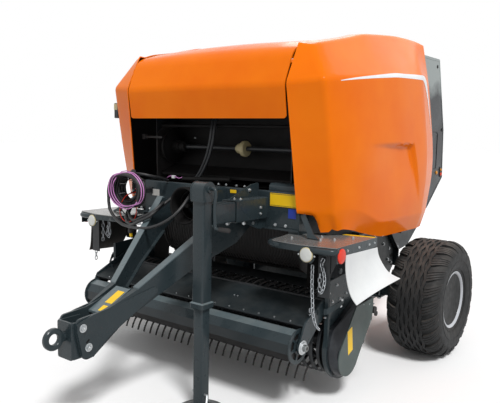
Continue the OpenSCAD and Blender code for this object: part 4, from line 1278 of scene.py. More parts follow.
def tread_plate(sign, name):
    """Step plate with its flanges, bumper tube, lamps and stickers."""
    piece = Piece("step_plate_" + name, "worn_plate", sign)
    top = [(660, -1330), (700, -1574), (716, -1588), (905, -1600), (1100, -1570), (1131, -1556),
        (STEP_SIDE, -1059), (860, -1180), (660, -1200)]
    piece.slab(top, STEP_TOP - 5, STEP_TOP)
    piece.use("grey")
    lines = [(702, -1572, 716, -1586), (716, -1586, 905, -1598), (905, -1598, 1098, -1569),
        (1098, -1569, 1130, -1555)]
    for i, (x0, y0, x1, y1) in enumerate(lines):
        low = 988 if i == 1 else 998
        piece.loft([[(x0, y0, 1027), (x0, y0 + 5, 1027), (x0, y0 + 5, low), (x0, y0, low)],
                    [(x1, y1, 1027), (x1, y1 + 5, 1027), (x1, y1 + 5, low), (x1, y1, low)]])
    side = [(-1555, 1029), (-1059, 1029), (-1062, 975), (-1500, 940), (-1555, 940)]
    piece.plate(side, STEP_SIDE - 6, STEP_SIDE)
    # carrier under the plate, back to the beam's end plate
    piece.box((660, -1450, 970), (1100, -1392, 1024))
    piece.plate([(-1560, 1024), (-1060, 1024), (-1200, 968), (-1500, 968)], 659, 667)
    piece.box((660, -1338, 1022), (736, -1222, 1052))
    # brace from the beam to the plate
    piece.loft([[(724, -1322, 1172), (764, -1322, 1172), (764, -1314, 1166), (724, -1314, 1166)],
                [(838, -1404, 1062), (884, -1404, 1062), (884, -1396, 1056), (838, -1396, 1056)],
                [(850, -1420, 1036), (930, -1420, 1036), (930, -1396, 1032), (850, -1396, 1032)]])
    # hanger plate behind the chains
    piece.use("black").box((985, -1506, 720), (1062, -1498, 1000))
    piece.loft([[(1062, -1500, 1000), (1062, -1494, 1000), (1062, -1494, 860), (1062, -1500, 860)],
                [(1126, -1500, 1000), (1126, -1494, 1000), (1126, -1494, 984), (1126, -1500, 984)]])
    piece.use("grey").tube([(668, -1440, 1006), (664, -1520, 1006), (690, -1566, 1006), (728, -1578, 1006),
        (760, -1574, 1006)], 18, 14)
    piece.tube([(940, -1570, 1004), (1010, -1584, 1004), (1080, -1580, 1004), (1116, -1554, 1004),
        (1118, -1500, 1004)], 18, 14)
    piece.use("zinc").bolts([(x, y, STEP_TOP) for x, y in ((985, -1330), (930, -1400), (880, -1300),
        (760, -1450), (1040, -1200))], UP, 9)
    piece.bolts([(STEP_SIDE, y, 1000) for y in (-1440, -1300, -1170, -1100)], LEFT, 7)
    piece.use("yellow").loft([[(930, -1136, STEP_TOP + 0.4), (930, -1136, STEP_TOP + 1.4),
        (940, -1100, STEP_TOP + 1.4), (940, -1100, STEP_TOP + 0.4)],
        [(1128, -1096, STEP_TOP + 0.4), (1128, -1096, STEP_TOP + 1.4), (1128, -1066, STEP_TOP + 1.4),
        (1128, -1066, STEP_TOP + 0.4)]])
    piece.done("chassis", "frame_paint", ("step_" + name,), bevel=1.2)

    flap = Piece("flap_sheet_" + name, "flap_white", sign)
    front = curve([(1137.5, -1460, 978), (1139, -1460, 900), (1150, -1456, 820), (1172, -1446, 742),
        (1203, -1434, 694)], 5)
    rear = curve([(1137.5, -1062, 968), (1150, -1062, 918), (1180, -1062, 868), (1226, -1064, 822),
        (1299, -1066, 798)], 5)
    if sign < 0:
        rear = curve([(1137.5, -1062, 968), (1142, -1062, 900), (1158, -1066, 820), (1190, -1076, 740),
            (1240, -1088, 672)], 5)
    rows = []
    for a, b in zip(front, rear):
        row = []
        for k in range(17):
            p = a.lerp(b, k / 16)
            p.x -= 10 * sin(pi * k / 16) * step(978 - p.z, 0, 200)
            row.append((p.x, p.y, p.z))
        rows.append(row)
    outer = [flap.points(r) for r in rows]
    inner = [flap.points([(x - 4, y, z - 1) for x, y, z in r]) for r in rows]
    for i in range(len(rows) - 1):
        for j in range(16):
            flap.use("flap_white").face([outer[i][j], outer[i][j + 1], outer[i + 1][j + 1], outer[i + 1][j]])
            flap.use("flap_dark").face([inner[i][j + 1], inner[i][j], inner[i + 1][j], inner[i + 1][j + 1]])
    flap.use("flap_white")
    for i in range(len(rows) - 1):
        for j in (0, 16):
            flap.face([outer[i][j], outer[i + 1][j], inner[i + 1][j], inner[i][j]])
    for i in (0, len(rows) - 1):
        for j in range(16):
            flap.face([outer[i][j], inner[i][j], inner[i][j + 1], outer[i][j + 1]])
    flap.done("chassis", "flap", ("mudflap_" + name,), bevel=0, sharp=60)


def front_lamps():
    piece = Piece("front_reflectors", "grey")
    for piece.sign in (1, -1):
        piece.use("grey").loft([[(900, y, 1024), (1000, y, 1024), (1004, y, 950), (985, y, 928),
            (930, y, 928), (905, y, 950)] for y in (LENS_Y, LENS_Y + 6)])
        piece.use("cream").solid((955, LENS_Y, 975), AHEAD, [(43, 0), (43, 6), (40, 8)], 40)
        piece.use("reflector").lathe((955, LENS_Y, 975), AHEAD, [(0.5, 7), (39, 7), (38, 10.5), (28, 12),
            (0.5, 12.5)], 40)
        piece.use("zinc").bolts([(x, LENS_Y, 972) for x in (902, 1008)], AHEAD, 5)
        piece.use("red").lathe((STEP_SIDE, -1508, 978), LEFT, [(0.5, 0), (43, 0), (43, 5), (38, 8), (0.5, 9)],
            40)
    piece.done("chassis", "reflector", ("reflectors",), bevel=0.8)


def hanging_chains():
    piece = Piece("chain_links", "chain")
    for route in (
            [(957, -1524, 905), (958, -1526, 800), (966, -1528, 690), (974, -1528, 610), (990, -1524, 556),
             (1010, -1512, 528)],
            [(1024, -1512, 950), (1012, -1515, 915), (1030, -1516, 860), (1034, -1516, 810),
             (1020, -1516, 756), (1006, -1516, 760), (1002, -1516, 800), (1006, -1516, 862)],
            [(-1066, -1466, 960), (-1066, -1468, 860), (-1068, -1468, 740), (-1070, -1468, 640)],
            [(-982, -1468, 960), (-983, -1468, 880), (-985, -1468, 800)],
            [(-910, -1468, 960), (-925, -1468, 895), (-935, -1468, 858), (-915, -1468, 842),
             (-900, -1468, 866), (-905, -1468, 900), (-912, -1468, 960)]):
        chain(piece, route, 15, 3.4, 1.75)
    piece.done("chassis", "bright_steel", ("chains",), bevel=0, sharp=60)


front_frame()
chamber_front()
for sign, side_name in SIDES:
    tread_plate(sign, side_name)
front_lamps()
hanging_chains()


# ---- Pickup ------------------------------------------------------------------------------------

CHAMBER_HALF = 609
REEL = (-1160, 345)
PICKUP_X = 955
ARM_X = 935
GUARD = (-1592, 429)
PITCH = 66
BAND_R = 205


def bands():
    piece = Piece("band_strips", "band")
    line = [(-840, 560)] + arc(REEL, BAND_R - 2, 88, 296, 18) + [(-858, 270)]
    for i in range(27):
        x = (i - 13) * PITCH
        rings = []
        for k, (y, z) in enumerate(line):
            before, after = line[max(k - 1, 0)], line[min(k + 1, len(line) - 1)]
            d = Vector((0, after[0] - before[0], after[1] - before[1])).normalized()
            n = Vector(LEFT).cross(d)
            section = [(-15, -5), (-15, 0), (-9, 3), (9, 3), (15, 0), (15, -5), (13, -5), (8, 0.5), (-8, 0.5),
                (-13, -5)]
            rings.append([(x + a, y - n.y * b, z - n.z * b) for a, b in section])
        piece.loft(rings)
        piece.use("zinc").bolt((x, -870, 563), (0, -0.1, 1), 5, washer=False)
        piece.use("band")
    piece.box((-PICKUP_X + 1, -846, 546), (PICKUP_X - 1, -832, 555))
    piece.box((-PICKUP_X + 1, -862, 262), (PICKUP_X - 1, -848, 274))
    piece.plate([(-842, 556), (-818, 598), (-792, 611), (-790, 606), (-814, 593), (-836, 554)], -PICKUP_X + 1,
        PICKUP_X - 1)
    piece.done("pickup", "black_paint", ("stripper_bands",), bevel=0, sharp=50)


def reel():
    piece = Piece("reel_tines", "black")
    y0, z0 = REEL
    piece.rod((-PICKUP_X + 1, y0, z0), (PICKUP_X - 1, y0, z0), 45, sides=36)
    for x in (-932, -2, 914):
        piece.ring((x, y0, z0), LEFT, [(45, 0), (78, 0), (80, 2), (80, 14), (78, 16), (45, 16)], 40)
    for b in range(4):
        t = radians(b * 90 + 38)
        out = Vector((0, sin(t), -cos(t)))
        ahead = Vector((0, -cos(t), -sin(t)))
        bar = Vector((0, y0, z0)) + out * 130
        piece.use("black").rod(Vector((-PICKUP_X + 21, 0, 0)) + bar, Vector((PICKUP_X - 21, 0, 0)) + bar, 14,
            sides=18)
        for x in (-923, 0, 923):
            c = Vector((x, y0, z0))
            rings = [[c + Vector((dx, 0, 0)) + out * r + ahead * w for r, w in
                      ((70, -26), (118, -20), (138, -15), (150, -8), (152, 0), (150, 8), (138, 15), (118, 20),
                       (70, 26))] for dx in (-7, 7)]
            piece.loft(rings)
        piece.use("grip")
        for i in range(26):
            x = (i - 12.5) * PITCH
            route = []
            for k in range(19):
                a = radians(k * 40)
                route.append(bar + Vector((x - 13 + k * 0.72, 0, 0)) + 18 * (out * cos(a) + ahead * sin(a)))
            middle = bar + Vector((x, 0, 0))
            route = route[:-1] + [middle + out * a - ahead * b
                for a, b in ((26, 2), (70, 4), (110, 12), (145, 26), (174, 44))]
            piece.tube(route, 6.8, 6, smooth=False)
    piece.done("reel", "black_paint", ("pickup_reel",), bevel=0, sharp=45)


def side_frames():
    piece = Piece("pickup_sides", "grey")
    y0, z0 = REEL
    outline = [(-1000, 800), (-1370, 770)] + arc(REEL, BAND_R + 15, 160, 285, 18) + [(-840, 260), (-750, 470),
        (-750, 560)]
    piece.plate(outline, PICKUP_X, PICKUP_X + 8)
    # folded front edge and its stiffening lip
    edge = [(-1366, 768)] + arc(REEL, BAND_R + 12, 160, 282, 18)
    piece.strip([(PICKUP_X + 14, y, z) for y, z in edge], LEFT, 26, 5)
    piece.strip([(PICKUP_X + 25, y, z) for y, z in [(-1352, 760)] + arc(REEL, BAND_R + 2, 160, 270, 14)],
        (0, 0.3, 0.3), 9, 4)
    piece.use("black")
    for dx in (2, 42):
        piece.ring((PICKUP_X - 60 + dx, y0, z0), LEFT, [(150, 0), (196, 0), (200, 4), (200, 18), (196, 22),
            (150, 22)], 56)
    # drive cover: a deep rim that narrows to a lighter face plate
    piece.use("cover")
    rim = [(-860, 590), (-1040, 600)] + arc(REEL, BAND_R, 140, 290, 20) + [(-820, 400), (-780, 500)]
    face = [(-872, 590), (-1106, 582)] + arc((-1188, 285), 128, 155, 322, 20) + [(-976, 351), (-884, 449)]
    piece.loft([[(x, y, z) for y, z in rim] for x in (PICKUP_X + 12, PICKUP_X + 40)], caps=False)
    piece.loft([[(PICKUP_X + 40, y, z) for y, z in rim], [(PICKUP_X + 75, y, z) for y, z in face]])
    piece.use("drive_face").plate(face, PICKUP_X + 75, PICKUP_X + 81.5)
    piece.use("grip").rod((PICKUP_X + 66, -838, 500), (PICKUP_X + 82, -838, 500), 24, sides=24)
    piece.rod((PICKUP_X + 70, -815, 470), (PICKUP_X + 81, -815, 470), 17, sides=20)
    piece.use("zinc").bolts([(PICKUP_X + 77, y, z)
        for y, z in ((-925, 560), (-905, 440), (-860, 548), (-1010, 575))], LEFT, 5)
    piece.bolts([(PICKUP_X + 8, y, z) for y, z in ((-1330, 700), (-1290, 640), (-1372, 560), (-1345, 250),
        (-1240, 735), (-1200, 640), (-1120, 660), (-1060, 760))], LEFT, 8)
    # bent carrier that the chain ends hang on
    piece.use("grey").strip([(972, -1404, 603), (990, -1400, 606), (1040, -1335, 648), (1044, -1300, 668)],
        UP, 34, 6)
    piece.use("zinc").bolt((1044, -1318, 672), (0.7, -0.7, 0), 7)
    piece.bolt((1040, -1322, 634), (0.7, -0.7, 0), 7)
    # blank sticker on the drive cover
    piece.use("yellow")
    sticker = [(-1216, 446), (-1158, 466), (-1140, 312), (-1198, 290)]
    piece.plate(sticker, PICKUP_X + 81, PICKUP_X + 81.9)
    # pivot arms
    piece.use("grey").plate([(-560, 630), (-564, 682), (-590, 700), (-620, 698), (-834, 560), (-834, 480),
        (-760, 480)], 586, 602)
    piece.ring((586, -600, 660), LEFT, [(20.5, -3), (38, -3), (40, 0), (40, 16), (38, 19), (20.5, 19)], 36)
    piece.use("zinc").rod((586, -600, 660), (640, -600, 660), 20, sides=28)
    piece.mirrored()
    piece.use("grey").rod((-PICKUP_X, -790, 520), (PICKUP_X, -790, 520), 38, sides=32)
    piece.use("black")
    for x in (-640, -320, 0, 320, 640):
        piece.plate([(-846, 548), (-834, 556), (-780, 560), (-770, 500), (-800, 482), (-846, 470)],
            x - 4, x + 4)
    piece.done("pickup", "frame_paint", ("pickup_frame",), bevel=1.2)


def baffle():
    piece = Piece("baffle_sheet", "grey_dark")
    section = [(-1573, 546), (-1550, 553), (-1302, 631), (-1298, 634), (-1302, 639), (-1552, 559),
        (-1571, 552)]
    piece.plate(section, -ARM_X, ARM_X)
    piece.use("black").rod((-ARM_X + 2, -1296, 640), (ARM_X - 2, -1296, 640), 9, sides=18)
    piece.rod((-ARM_X + 2, -1548, 541), (ARM_X - 2, -1548, 541), 14, sides=20)
    for i in range(-7, 8):
        x = i * 117 + 20
        piece.use("zinc").rod((x, -1558, 550), (x, -1561, 562), 5, sides=10)
        piece.use("grip").tube([(x - 30, -1296, 640), (x - 30, -1230, 648), (x - 30, -1180, 646),
            (x - 30, -1146, 638)], 5, 8)
    for i in range(-15, 16):
        x = i * 58.5
        piece.tube([(x, -1292, 646), (x, -1240, 658), (x, -1190, 658), (x, -1156, 648)], 3.6, 8)
    piece.use("zinc").bolt((316, -1440, 592), (0, -0.3, 1), 7)
    piece.bolt((344, -1440, 592), (0, -0.3, 1), 7)
    for piece.sign in (1, -1):
        gy, gz = GUARD
        outline = [(gy - 30, gz - 32), (gy + 22, gz - 36), (gy + 40, gz - 20), (-1420, 520), (-1280, 600),
            (-1070, 720), (-1074, 756), (-1094, 770), (-1140, 764), (-1320, 680), (-1560, 570),
            (gy - 36, gz + 18), (gy - 42, gz - 8)]
        piece.use("grey").plate(outline, ARM_X, ARM_X + 12)
        piece.strip([(905, -1436, 596), (912, -1440, 598), (952, -1434, 602)], UP, 34, 6)
        piece.box((900, -1444, 560), (908, -1436, 614))
        piece.use("grip").plate([(-1478, 524), (-1466, 520), (-1440, 546), (-1452, 552)], ARM_X + 11,
            ARM_X + 12.6)
        # bearing flange of the roller
        piece.use("zinc").ring((ARM_X + 12, gy, gz), LEFT, [(20.5, 0), (42, 0), (43, 2), (42, 5), (34, 7),
            (33, 13), (30, 15), (20.5, 15)], 44)
        for a in (50, 170, 290):
            t = radians(a)
            piece.bolt((ARM_X + 17, gy + 34 * cos(t), gz + 34 * sin(t)), LEFT, 5)
        piece.use("grey").lathe((ARM_X, -1100, 740), LEFT, [(0.5, 10), (30, 12), (30, 18), (18, 20), (18, 31),
            (0.5, 32)], 30)
    piece.done("windguard", "frame_paint", ("windguard",), bevel=1)


def guard_chain():
    piece = Piece("guard_chain", "chain")
    chain(piece, [(930, -1490, 640), (934, -1494, 608), (942, -1492, 574)], 13, 3.2, 1.75)
    piece.done("windguard", "bright_steel", bevel=0)


def aprons():
    """Rubber aprons that close the gaps beside the chamber's mouth and behind the steps."""
    for sign, name in SIDES:
        piece = Piece("pickup_apron_" + name, "lining", sign)
        piece.plate([(-1092, 640), (-1086, 640), (-1066, 925), (-1072, 930)], 648, 806)
        piece.use("zinc").bolts([(x, -1075, 900) for x in (680, 774)], (0, -1, 0.05), 8)
        piece.done("pickup", "flap", bevel=1)
        piece = Piece("step_apron_" + name, "lining", sign)
        piece.plate([(-1106, 770), (-1100, 764), (-1086, 1010), (-1092, 1012)], 1012, 1132)
        piece.use("grey").box((1012, -1096, 1000), (1132, -1070, 1020))
        piece.done("chassis", "flap", bevel=1)


guard_chain()
aprons()


def roller():
    piece = Piece("roller_tube", "grey")
    gy, gz = GUARD
    end = ARM_X - 22
    flats = 10
    # CAD's first corner lies straight up from the axis
    corners = [pi / 2 + t for t in turns(flats)]
    for k in range(flats):
        a, b = corners[k], corners[(k + 1) % flats]
        # painted light and shade: the upper front flat lighter grey, the lowest four flats near black, the
        # rest darker
        piece.use("grey_painted_highlight" if k == 9 else "grey" if k == 8 else "interior_and_painted_shade" if k in (3, 4, 5, 6)
            else "grey_dark")
        corner_places = ((-end, a), (-end, b), (end, b), (end, a))
        piece.face(piece.points([(x, gy - 96 * cos(t), gz + 96 * sin(t)) for x, t in corner_places]))
    bmesh.ops.remove_doubles(piece.bm, verts=piece.bm.verts, dist=0.0002)
    for piece.sign in (1, -1):
        c = (end, gy, gz)
        piece.use("grey").ring(c, LEFT, [(80, -0.5), (104, -0.5), (105, 1), (105, 7), (104, 8), (80, 8)], 64)
        piece.ring(c, LEFT, [(20.2, -0.5), (44, -0.5), (44, 8), (20.2, 8)], 40)
        for k in range(6):
            t = pi * k / 3 + 0.3
            d = Vector((0, cos(t), sin(t)))
            at = Vector((end + 4, gy, gz))
            piece.beam(at + d * 40, at + d * 84, 15, 7.5, up=LEFT)
        piece.use("grip").solid((end - 8, gy, gz), LEFT, [(91, 0), (91, 2)], 30)
        piece.use("worn").solid(c, LEFT, [(19.8, 0), (19.8, 64), (17, 66)], 30)
        piece.use("grip").rod((end + 65, gy, gz), (end + 66.5, gy, gz), 11, sides=6)
    piece.done("roller", "frame_paint", ("guard_roller",), bevel=1.5, sharp=25)


def intake():
    """Curved feed fingers, the crop press wires before them and the first rollers of the chamber."""
    piece = Piece("finger_bars", "grip")
    path = arc((-1010, 1010), 203, 272, 345, 8)
    for i in range(-9, 10):
        x = i * PITCH
        rings = []
        for k, (y, z) in enumerate(path):
            d = atan2(z - 1010, y + 1010)
            w = 9 - 3 * k / 8
            rings.append([(x + a, y + b * cos(d), z + b * sin(d))
                for a, b in ((-4, -w), (4, -w), (5, 0), (4, w), (-4, w), (-5, 0))])
        piece.loft(rings)
    piece.rod((-611, -794, 960), (611, -794, 960), 14, sides=20)
    for shift, back in ((0, 0), (13, 34)):
        for i in range(-23, 24):
            x = i * 26 + shift
            if abs(x) > 606:
                continue
            piece.tube([(x, -1205 + back, 1052), (x, -1192 + back, 960), (x, -1168 + back, 850),
                (x, -1142 + back, 800), (x, -1112 + back, 762)], 3.6, 6, steps=3)
    piece.box((-611, -1216, 1046), (611, -1158, 1062))
    for x in (-615, 609):
        piece.plate([(-1216, 1050), (-1002, 985), (-768, 690), (-800, 660), (-1010, 700), (-1120, 760),
            (-1192, 900)], x, x + 6)
    piece.plate([(-1150, 1048), (-1138, 960), (-1116, 860), (-1076, 776), (-1070, 779), (-1110, 862),
        (-1132, 960), (-1144, 1048)], -CHAMBER_HALF, CHAMBER_HALF)
    piece.done("chassis", "black_paint", ("feed_fingers",), bevel=0, sharp=45)

    inner = Piece("chamber_rollers", "interior_and_painted_shade")
    for y, z in ((-735, 745), (-490, 668), (-235, 640), (-860, 960)):
        inner.solid((0, y, z), LEFT, [(88, -CHAMBER_HALF), (88, CHAMBER_HALF)], 32)
        for k in range(8):
            t = pi * k / 4 + y
            d = Vector((0, cos(t), sin(t)))
            c = Vector((0, y, z)) + d * 93
            inner.beam(c - Vector((604, 0, 0)), c + Vector((604, 0, 0)), 12, 14, up=tuple(d))
    inner.done("chassis", "black_paint", (), bevel=0, sharp=40)


bands()
reel()
side_frames()
baffle()
roller()
intake()


# ---- Walls, axle and roof -----------------------------------------------------------------------

GATE_LINE = [(158, 2324), (700, 2320), (860, 2230), (985, 1960), (1048, 1600), (1048, 1250), (880, 860),
    (620, 690)]


def hollow(piece, outline, wall, x0, x1):
    """A raised frame along a closed outline, wall wide, from x0 to x1."""
    centre = sum((Vector((0, y, z)) for y, z in outline), Vector()) / len(outline)
    inner = []
    for y, z in outline:
        p = Vector((0, y, z))
        q = p + (centre - p).normalized() * wall
        inner.append((q.y, q.z))
    n = len(outline)
    for k in range(n):
        (ay, az), (by, bz) = outline[k], outline[(k + 1) % n]
        (cy, cz), (dy, dz) = inner[(k + 1) % n], inner[k]
        piece.plate([(ay, az), (by, bz), (cy, cz), (dy, dz)], x0, x1)


WALL_X = 648


def walls():
    piece = Piece("wall_details", "grey_dark")
    for piece.sign in (1, -1):
        # doubling plates round the axle with their bolts, slots and folded rims
        piece.use("grey_dark").plate(rounded([(-250, 560), (-140, 400), (150, 400), (300, 600), (300, 690),
            (90, 880), (-250, 880)], 30, 4), WALL_X - 6, WALL_X)
        piece.use("grey").box((628, 92, 872), (690, 100, 930))
        piece.plate([(300, 560), (306, 560), (306, 704), (106, 906), (100, 900), (300, 698)], 628, 690)
        piece.plate([(-432, 640), (-424, 640), (-424, 930), (-432, 930)], 628, 690)
        # the slots are near-black plates: painted shade in their holes
        piece.use("interior_and_painted_shade").plate(rounded([(215, 640), (272, 640), (272, 666), (215, 666)], 12, 5), WALL_X,
            WALL_X + 2)
        piece.plate(rounded([(-190, 780), (-150, 780), (-150, 808), (-190, 808)], 12, 5), WALL_X, WALL_X + 2)
        piece.use("zinc").bolts([(WALL_X, y, z) for y, z in ((81, 772), (174, 630), (-60, 720), (-200, 640),
            (-200, 830), (30, 560), (-110, 560), (60, 850), (-90, 850), (235, 600))], LEFT, 13)
        # stiffening ribs, hinge straps and handholds on the flat of the wall
        piece.use("black")
        for y in (-1120, -860, -560, -300):
            piece.box((628, y - 18, 1120 if y > -1000 else 1320), (644, y + 18, 2150))
        hollow(piece, rounded([(-800, 1300), (-340, 1300), (-340, 1700), (-800, 1700)], 40, 4), 26, 628, 644)
        for y in (-420, 20):
            piece.use("grey").beam((640, y, 2305), (700, y, 2305), 46, 8)
        # bearing housings of the chamber rollers
        for y, z in ((-320, 720), (-660, 860), (-980, 1250), (-1080, 1560), (-1100, 1780)):
            piece.use("grey").solid((628, y, z), LEFT, [(62, 0), (62, 8), (44, 14), (38, 30)], 28)
            for k in range(4):
                a = pi / 4 + k * pi / 2
                piece.use("zinc").bolt((636, y + 50 * cos(a), z + 50 * sin(a)), LEFT, 8)
    # cross tubes under the chamber
    for y, z in ((-300, 610), (60, 690)):
        piece.use("grey").beam((-620, y, z), (620, y, z), 60, 60)
    piece.done("chassis", "frame_paint", bevel=1.2, segments=1)

    piece = Piece("axle_details", "grey")
    for piece.sign in (1, -1):
        for x in (560, 700):
            route = [(x, -66, TYRE_R - 74), (x, -66, TYRE_R + 40), (x, -58, TYRE_R + 62),
                (x, 58, TYRE_R + 62), (x, 66, TYRE_R + 40), (x, 66, TYRE_R - 74)]
            piece.use("zinc").tube(route, 8, 10, smooth=False)
            for y in (-66, 66):
                piece.rod((x, y, TYRE_R - 66), (x, y, TYRE_R - 80), 15, sides=6)
        piece.use("grey").box((535, -84, TYRE_R - 66), (725, 84, TYRE_R - 54))
        piece.plate([(-50, TYRE_R + 50), (-40, TYRE_R + 130), (40, TYRE_R + 130), (50, TYRE_R + 50)],
            795, 805)
        piece.ring((850, 0, TYRE_R), LEFT, [(52, 0), (78, 0), (78, 14), (60, 20), (52, 28)], 32)
        for k in range(6):
            piece.use("zinc").bolt((862, 66 * cos(k * pi / 3), TYRE_R + 66 * sin(k * pi / 3)), LEFT, 8)
    piece.done("chassis", "frame_paint", bevel=1, segments=1)

    piece = Piece("roof_details", "orange")
    for x in (-520, -260, 0, 260, 520):
        piece.loft([[(x - 26, y, z), (x - 16, y, z + 6), (x + 16, y, z + 6), (x + 26, y, z)]
            for y, z in ((-500, 2321), (-200, 2325), (60, 2327))])
    piece.use("black")
    for x in (-600, -200, 200, 600):
        piece.ring((x - 30, -560, 2306), LEFT, [(10, 0), (24, 0), (24, 60), (10, 60)], 24)
    piece.done("chassis", "orange_paint", bevel=1, segments=1)

    piece = Piece("marker_box", "black")
    piece.plate(rounded([(-1350, 1750), (-1322, 1750), (-1322, 1866), (-1350, 1866)], 6, 3), -982, -942)
    piece.use("cream").plate(rounded([(-1352, 1812), (-1324, 1812), (-1324, 1862), (-1352, 1862)], 6, 3),
        -984, -946)
    piece.use("lamp").lathe((-982, -1336, 1846), (-1, 0, 0), [(0.5, -2), (9, -2), (9, 3), (6, 6), (0.5, 7)],
        20)
    piece.done("panel_right", "black_paint", bevel=1)


walls()


# ---- Tailgate with its covers, lamps and cylinders ----------------------------------------------

def gate_skin(out):
    """The tailgate's outer line, moved out by out mm."""
    pts = [Vector((0, y, z)) for y, z in GATE_LINE]
    moved = []
    for k, p in enumerate(pts):
        a, b = pts[max(k - 1, 0)], pts[min(k + 1, len(pts) - 1)]
        d = (b - a).normalized()
        moved.append((p.y - d.z * out, p.z + d.y * out))
    return moved


COVER_X = 750


def tailgate():
    piece = Piece("gate_ribs", "orange")
    outer, base = gate_skin(17), gate_skin(-2)
    for x in (-560, -300, -40, 40, 300, 560):
        half = 16
        piece.loft([[(x - half, *b), (x - half + 5, *o), (x + half - 5, *o), (x + half, *b)]
            for o, b in zip(outer[1:], base[1:])])
    piece.use("grey")
    for z in (1500, 1180):
        piece.box((-600, 1040, z - 30), (600, 1062, z + 30))
    # plate holder and handle in the middle of the rear
    piece.use("black").plate(rounded([(1050, 1320), (1063, 1320), (1063, 1440), (1050, 1440)], 4, 2),
        -270, 270)
    piece.use("white").plate([(1062, 1330), (1066, 1330), (1066, 1430), (1062, 1430)], -250, 250)
    piece.use("zinc").tube([(-180, 1052, 1240), (-180, 1058, 1250), (-160, 1060, 1262), (160, 1060, 1262),
        (180, 1058, 1250), (180, 1052, 1240)], 5, 8)
    # hinge straps over the roof's rear edge and closing hooks at the bottom
    for x in (-520, -180, 180, 520):
        piece.use("grey").strip([(x, 150, 2326), (x, 360, 2330), (x, 420, 2324)], LEFT, 50, 7)
        for y in (220, 300, 380):
            piece.use("zinc").bolt((x, y, 2332), UP, 9)
    for piece.sign in (1, -1):
        piece.use("grey").plate([(150, 646), (150, 760), (220, 790), (420, 730), (420, 690), (220, 660)],
            628, 640)
        piece.use("zinc").bolt((640, 200, 720), LEFT, 15)
        piece.bolt((640, 380, 708), LEFT, 11)
        piece.use("black").beam((560, 300, 668), (560, 600, 682), 30, 26)
    piece.done("tailgate", "orange_paint", bevel=1, segments=1)

    # the covers' finish pales with height above the ground: a painted sky reflection on their upper part
    covers = Piece("cover_details", "cover")
    for covers.sign in (1, -1):
        outline = [(440, 2325), (856, 2325), (1036, 1716), (1063, 1284), (733, 1036), (333, 866), (191, 866),
            (191, 2060)]
        # folded rim, hinge line with bolts, and the access door of the hose compartment
        covers.use("cover")
        hollow(covers, outline, 16, COVER_X - 2, COVER_X + 2)
        covers.use("black")
        hollow(covers, rounded([(560, 1360), (900, 1360), (900, 1700), (560, 1700)], 30, 4), 12, COVER_X - 1,
            COVER_X + 4)
        covers.use("chrome").bolt((COVER_X + 2, 590, 1530), LEFT, 14)
        for y, z in ((811, 2263), (480, 2263), (250, 1990), (250, 960), (700, 1090), (1010, 1300),
                (990, 1716)):
            covers.use("interior_and_painted_shade").solid((COVER_X, y, z), LEFT, [(15, 0), (15, 2.5), (12, 3.5)], 20)
    covers.done("tailgate", "black_paint", bevel=1, segments=1)

    lamps = Piece("tail_lights", "black")
    for lamps.sign in (1, -1):
        lamps.use("black").plate(rounded([(988, 1292), (1032, 1292), (1032, 1378), (988, 1378)], 8, 3),
            COVER_X, COVER_X + 6)
        for y, z, r, colour in ((1009, 1312, 15, "lamp"), (1004, 1352, 12, "amber")):
            lamps.use(colour).lathe((COVER_X + 6, y, z), LEFT, [(0.5, 0), (r, 0), (r, 5), (r * 0.7, 8),
                (0.5, 9)], 28)
        lamps.use("amber").lathe((COVER_X, 911, 1329), LEFT,
            [(0.5, 0), (17, 0), (17, 6), (12, 10), (0.5, 11)], 28)
    lamps.done("tailgate", "lamp_red", ("tail_lamps",), bevel=0)


tailgate()


RAM_X = 800


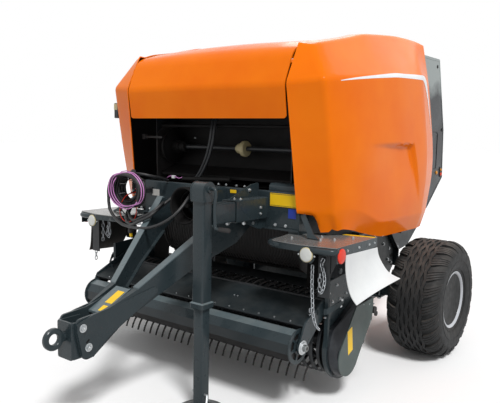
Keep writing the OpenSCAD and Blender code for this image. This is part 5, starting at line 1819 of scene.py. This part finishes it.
def cylinders():
    foot, head = Vector((0, -250, 1000)), Vector((0, 300, 1750))
    along = (head - foot).normalized()
    for sign, name in SIDES:
        side = Vector((RAM_X, 0, 0))
        piece = Piece("ram_barrel_details_" + name, "black", sign)
        for at, r, w in ((84, 41, 14), (700, 41, 20), (752, 44, 26)):
            c = side + foot + along * at
            piece.ring(c, along, [(37, 0), (r, 1), (r, w - 1), (37, w)], 32)
        for x in (-34, 34):
            piece.use("grey").solid((RAM_X + x, foot.y, foot.z), (1 if x > 0 else -1, 0, 0),
                [(36, -8), (36, 2), (18, 3), (18, 10)], 24)
        out = side + foot + along * 110 + Vector((38, 0, 0))
        piece.use("zinc").rod(out - Vector((6, 0, 0)), out + Vector((20, 0, 0)), 11, sides=6)
        piece.use("black").tube([out + Vector((d, 0, 0)) + along * a
            for d, a in ((16, 0), (30, 12), (30, 60), (16, 90), (14, 240), (14, 520))], 7, 10)
        piece.done("ram_barrel_" + name, "black_paint", bevel=0.8, segments=1)
        piece = Piece("ram_rod_details_" + name, "chrome", sign)
        for x in (-26, 26):
            piece.use("grey").solid((RAM_X + x, head.y, head.z), (1 if x > 0 else -1, 0, 0),
                [(32, -6), (32, 2), (16, 3), (16, 12)], 24)
        piece.done("ram_rod_" + name, "bright_steel", bevel=0.8, segments=1)
    piece = Piece("hose_bracket_details", "black")
    piece.use("zinc").bolts([(-585, -1510, z) for z in (1222, 1290)], AHEAD, 9)
    piece.use("black").tube([(-600, -1504, 1318), (-600, -1508, 1334), (-585, -1508, 1340),
        (-570, -1508, 1334), (-570, -1504, 1318)], 5, 8)
    piece.box((-612, -1352, 1192), (-558, -1340, 1240))
    piece.done("chassis", "black_paint", bevel=0.8, segments=1)


cylinders()


# ---- Solids that show as they are --------------------------------------------------------------

SHOWN = {
    "grey": "cross_beam gearbox axle step_left step_right reflectors pickup_frame guard_roller",
    "black": "side_wall_left side_wall_right pickup_reel windguard barrel_left barrel_right hose_bracket",
    "interior_and_painted_shade": "front_wall net_spindle feed_fingers",
    "flap_white": "mudflap_left mudflap_right",
    "orange": "roof tailgate",
    "chrome": "rod_left rod_right",
    "worn": "input_shaft",
    "chain": "chains",
    "band": "stripper_bands",
    # the covers' finish pales with height: a painted sky reflection
    "cover": "tailgate_covers",
    "lamp": "tail_lamps"}
for material, nodes in SHOWN.items():
    for node in nodes.split():
        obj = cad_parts[node]
        if not obj.hide_render:
            obj.data.materials.clear()
            obj.data.materials.append(MATERIALS[material])
            add_bevel(obj, 1.5)

# the tailgate's flat sides are black, its wrapped skin is orange
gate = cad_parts["tailgate"].data
gate.materials.append(MATERIALS["grey_dark"])
for polygon in gate.polygons:
    if abs(polygon.normal.x) > 0.9:
        polygon.material_index = 1
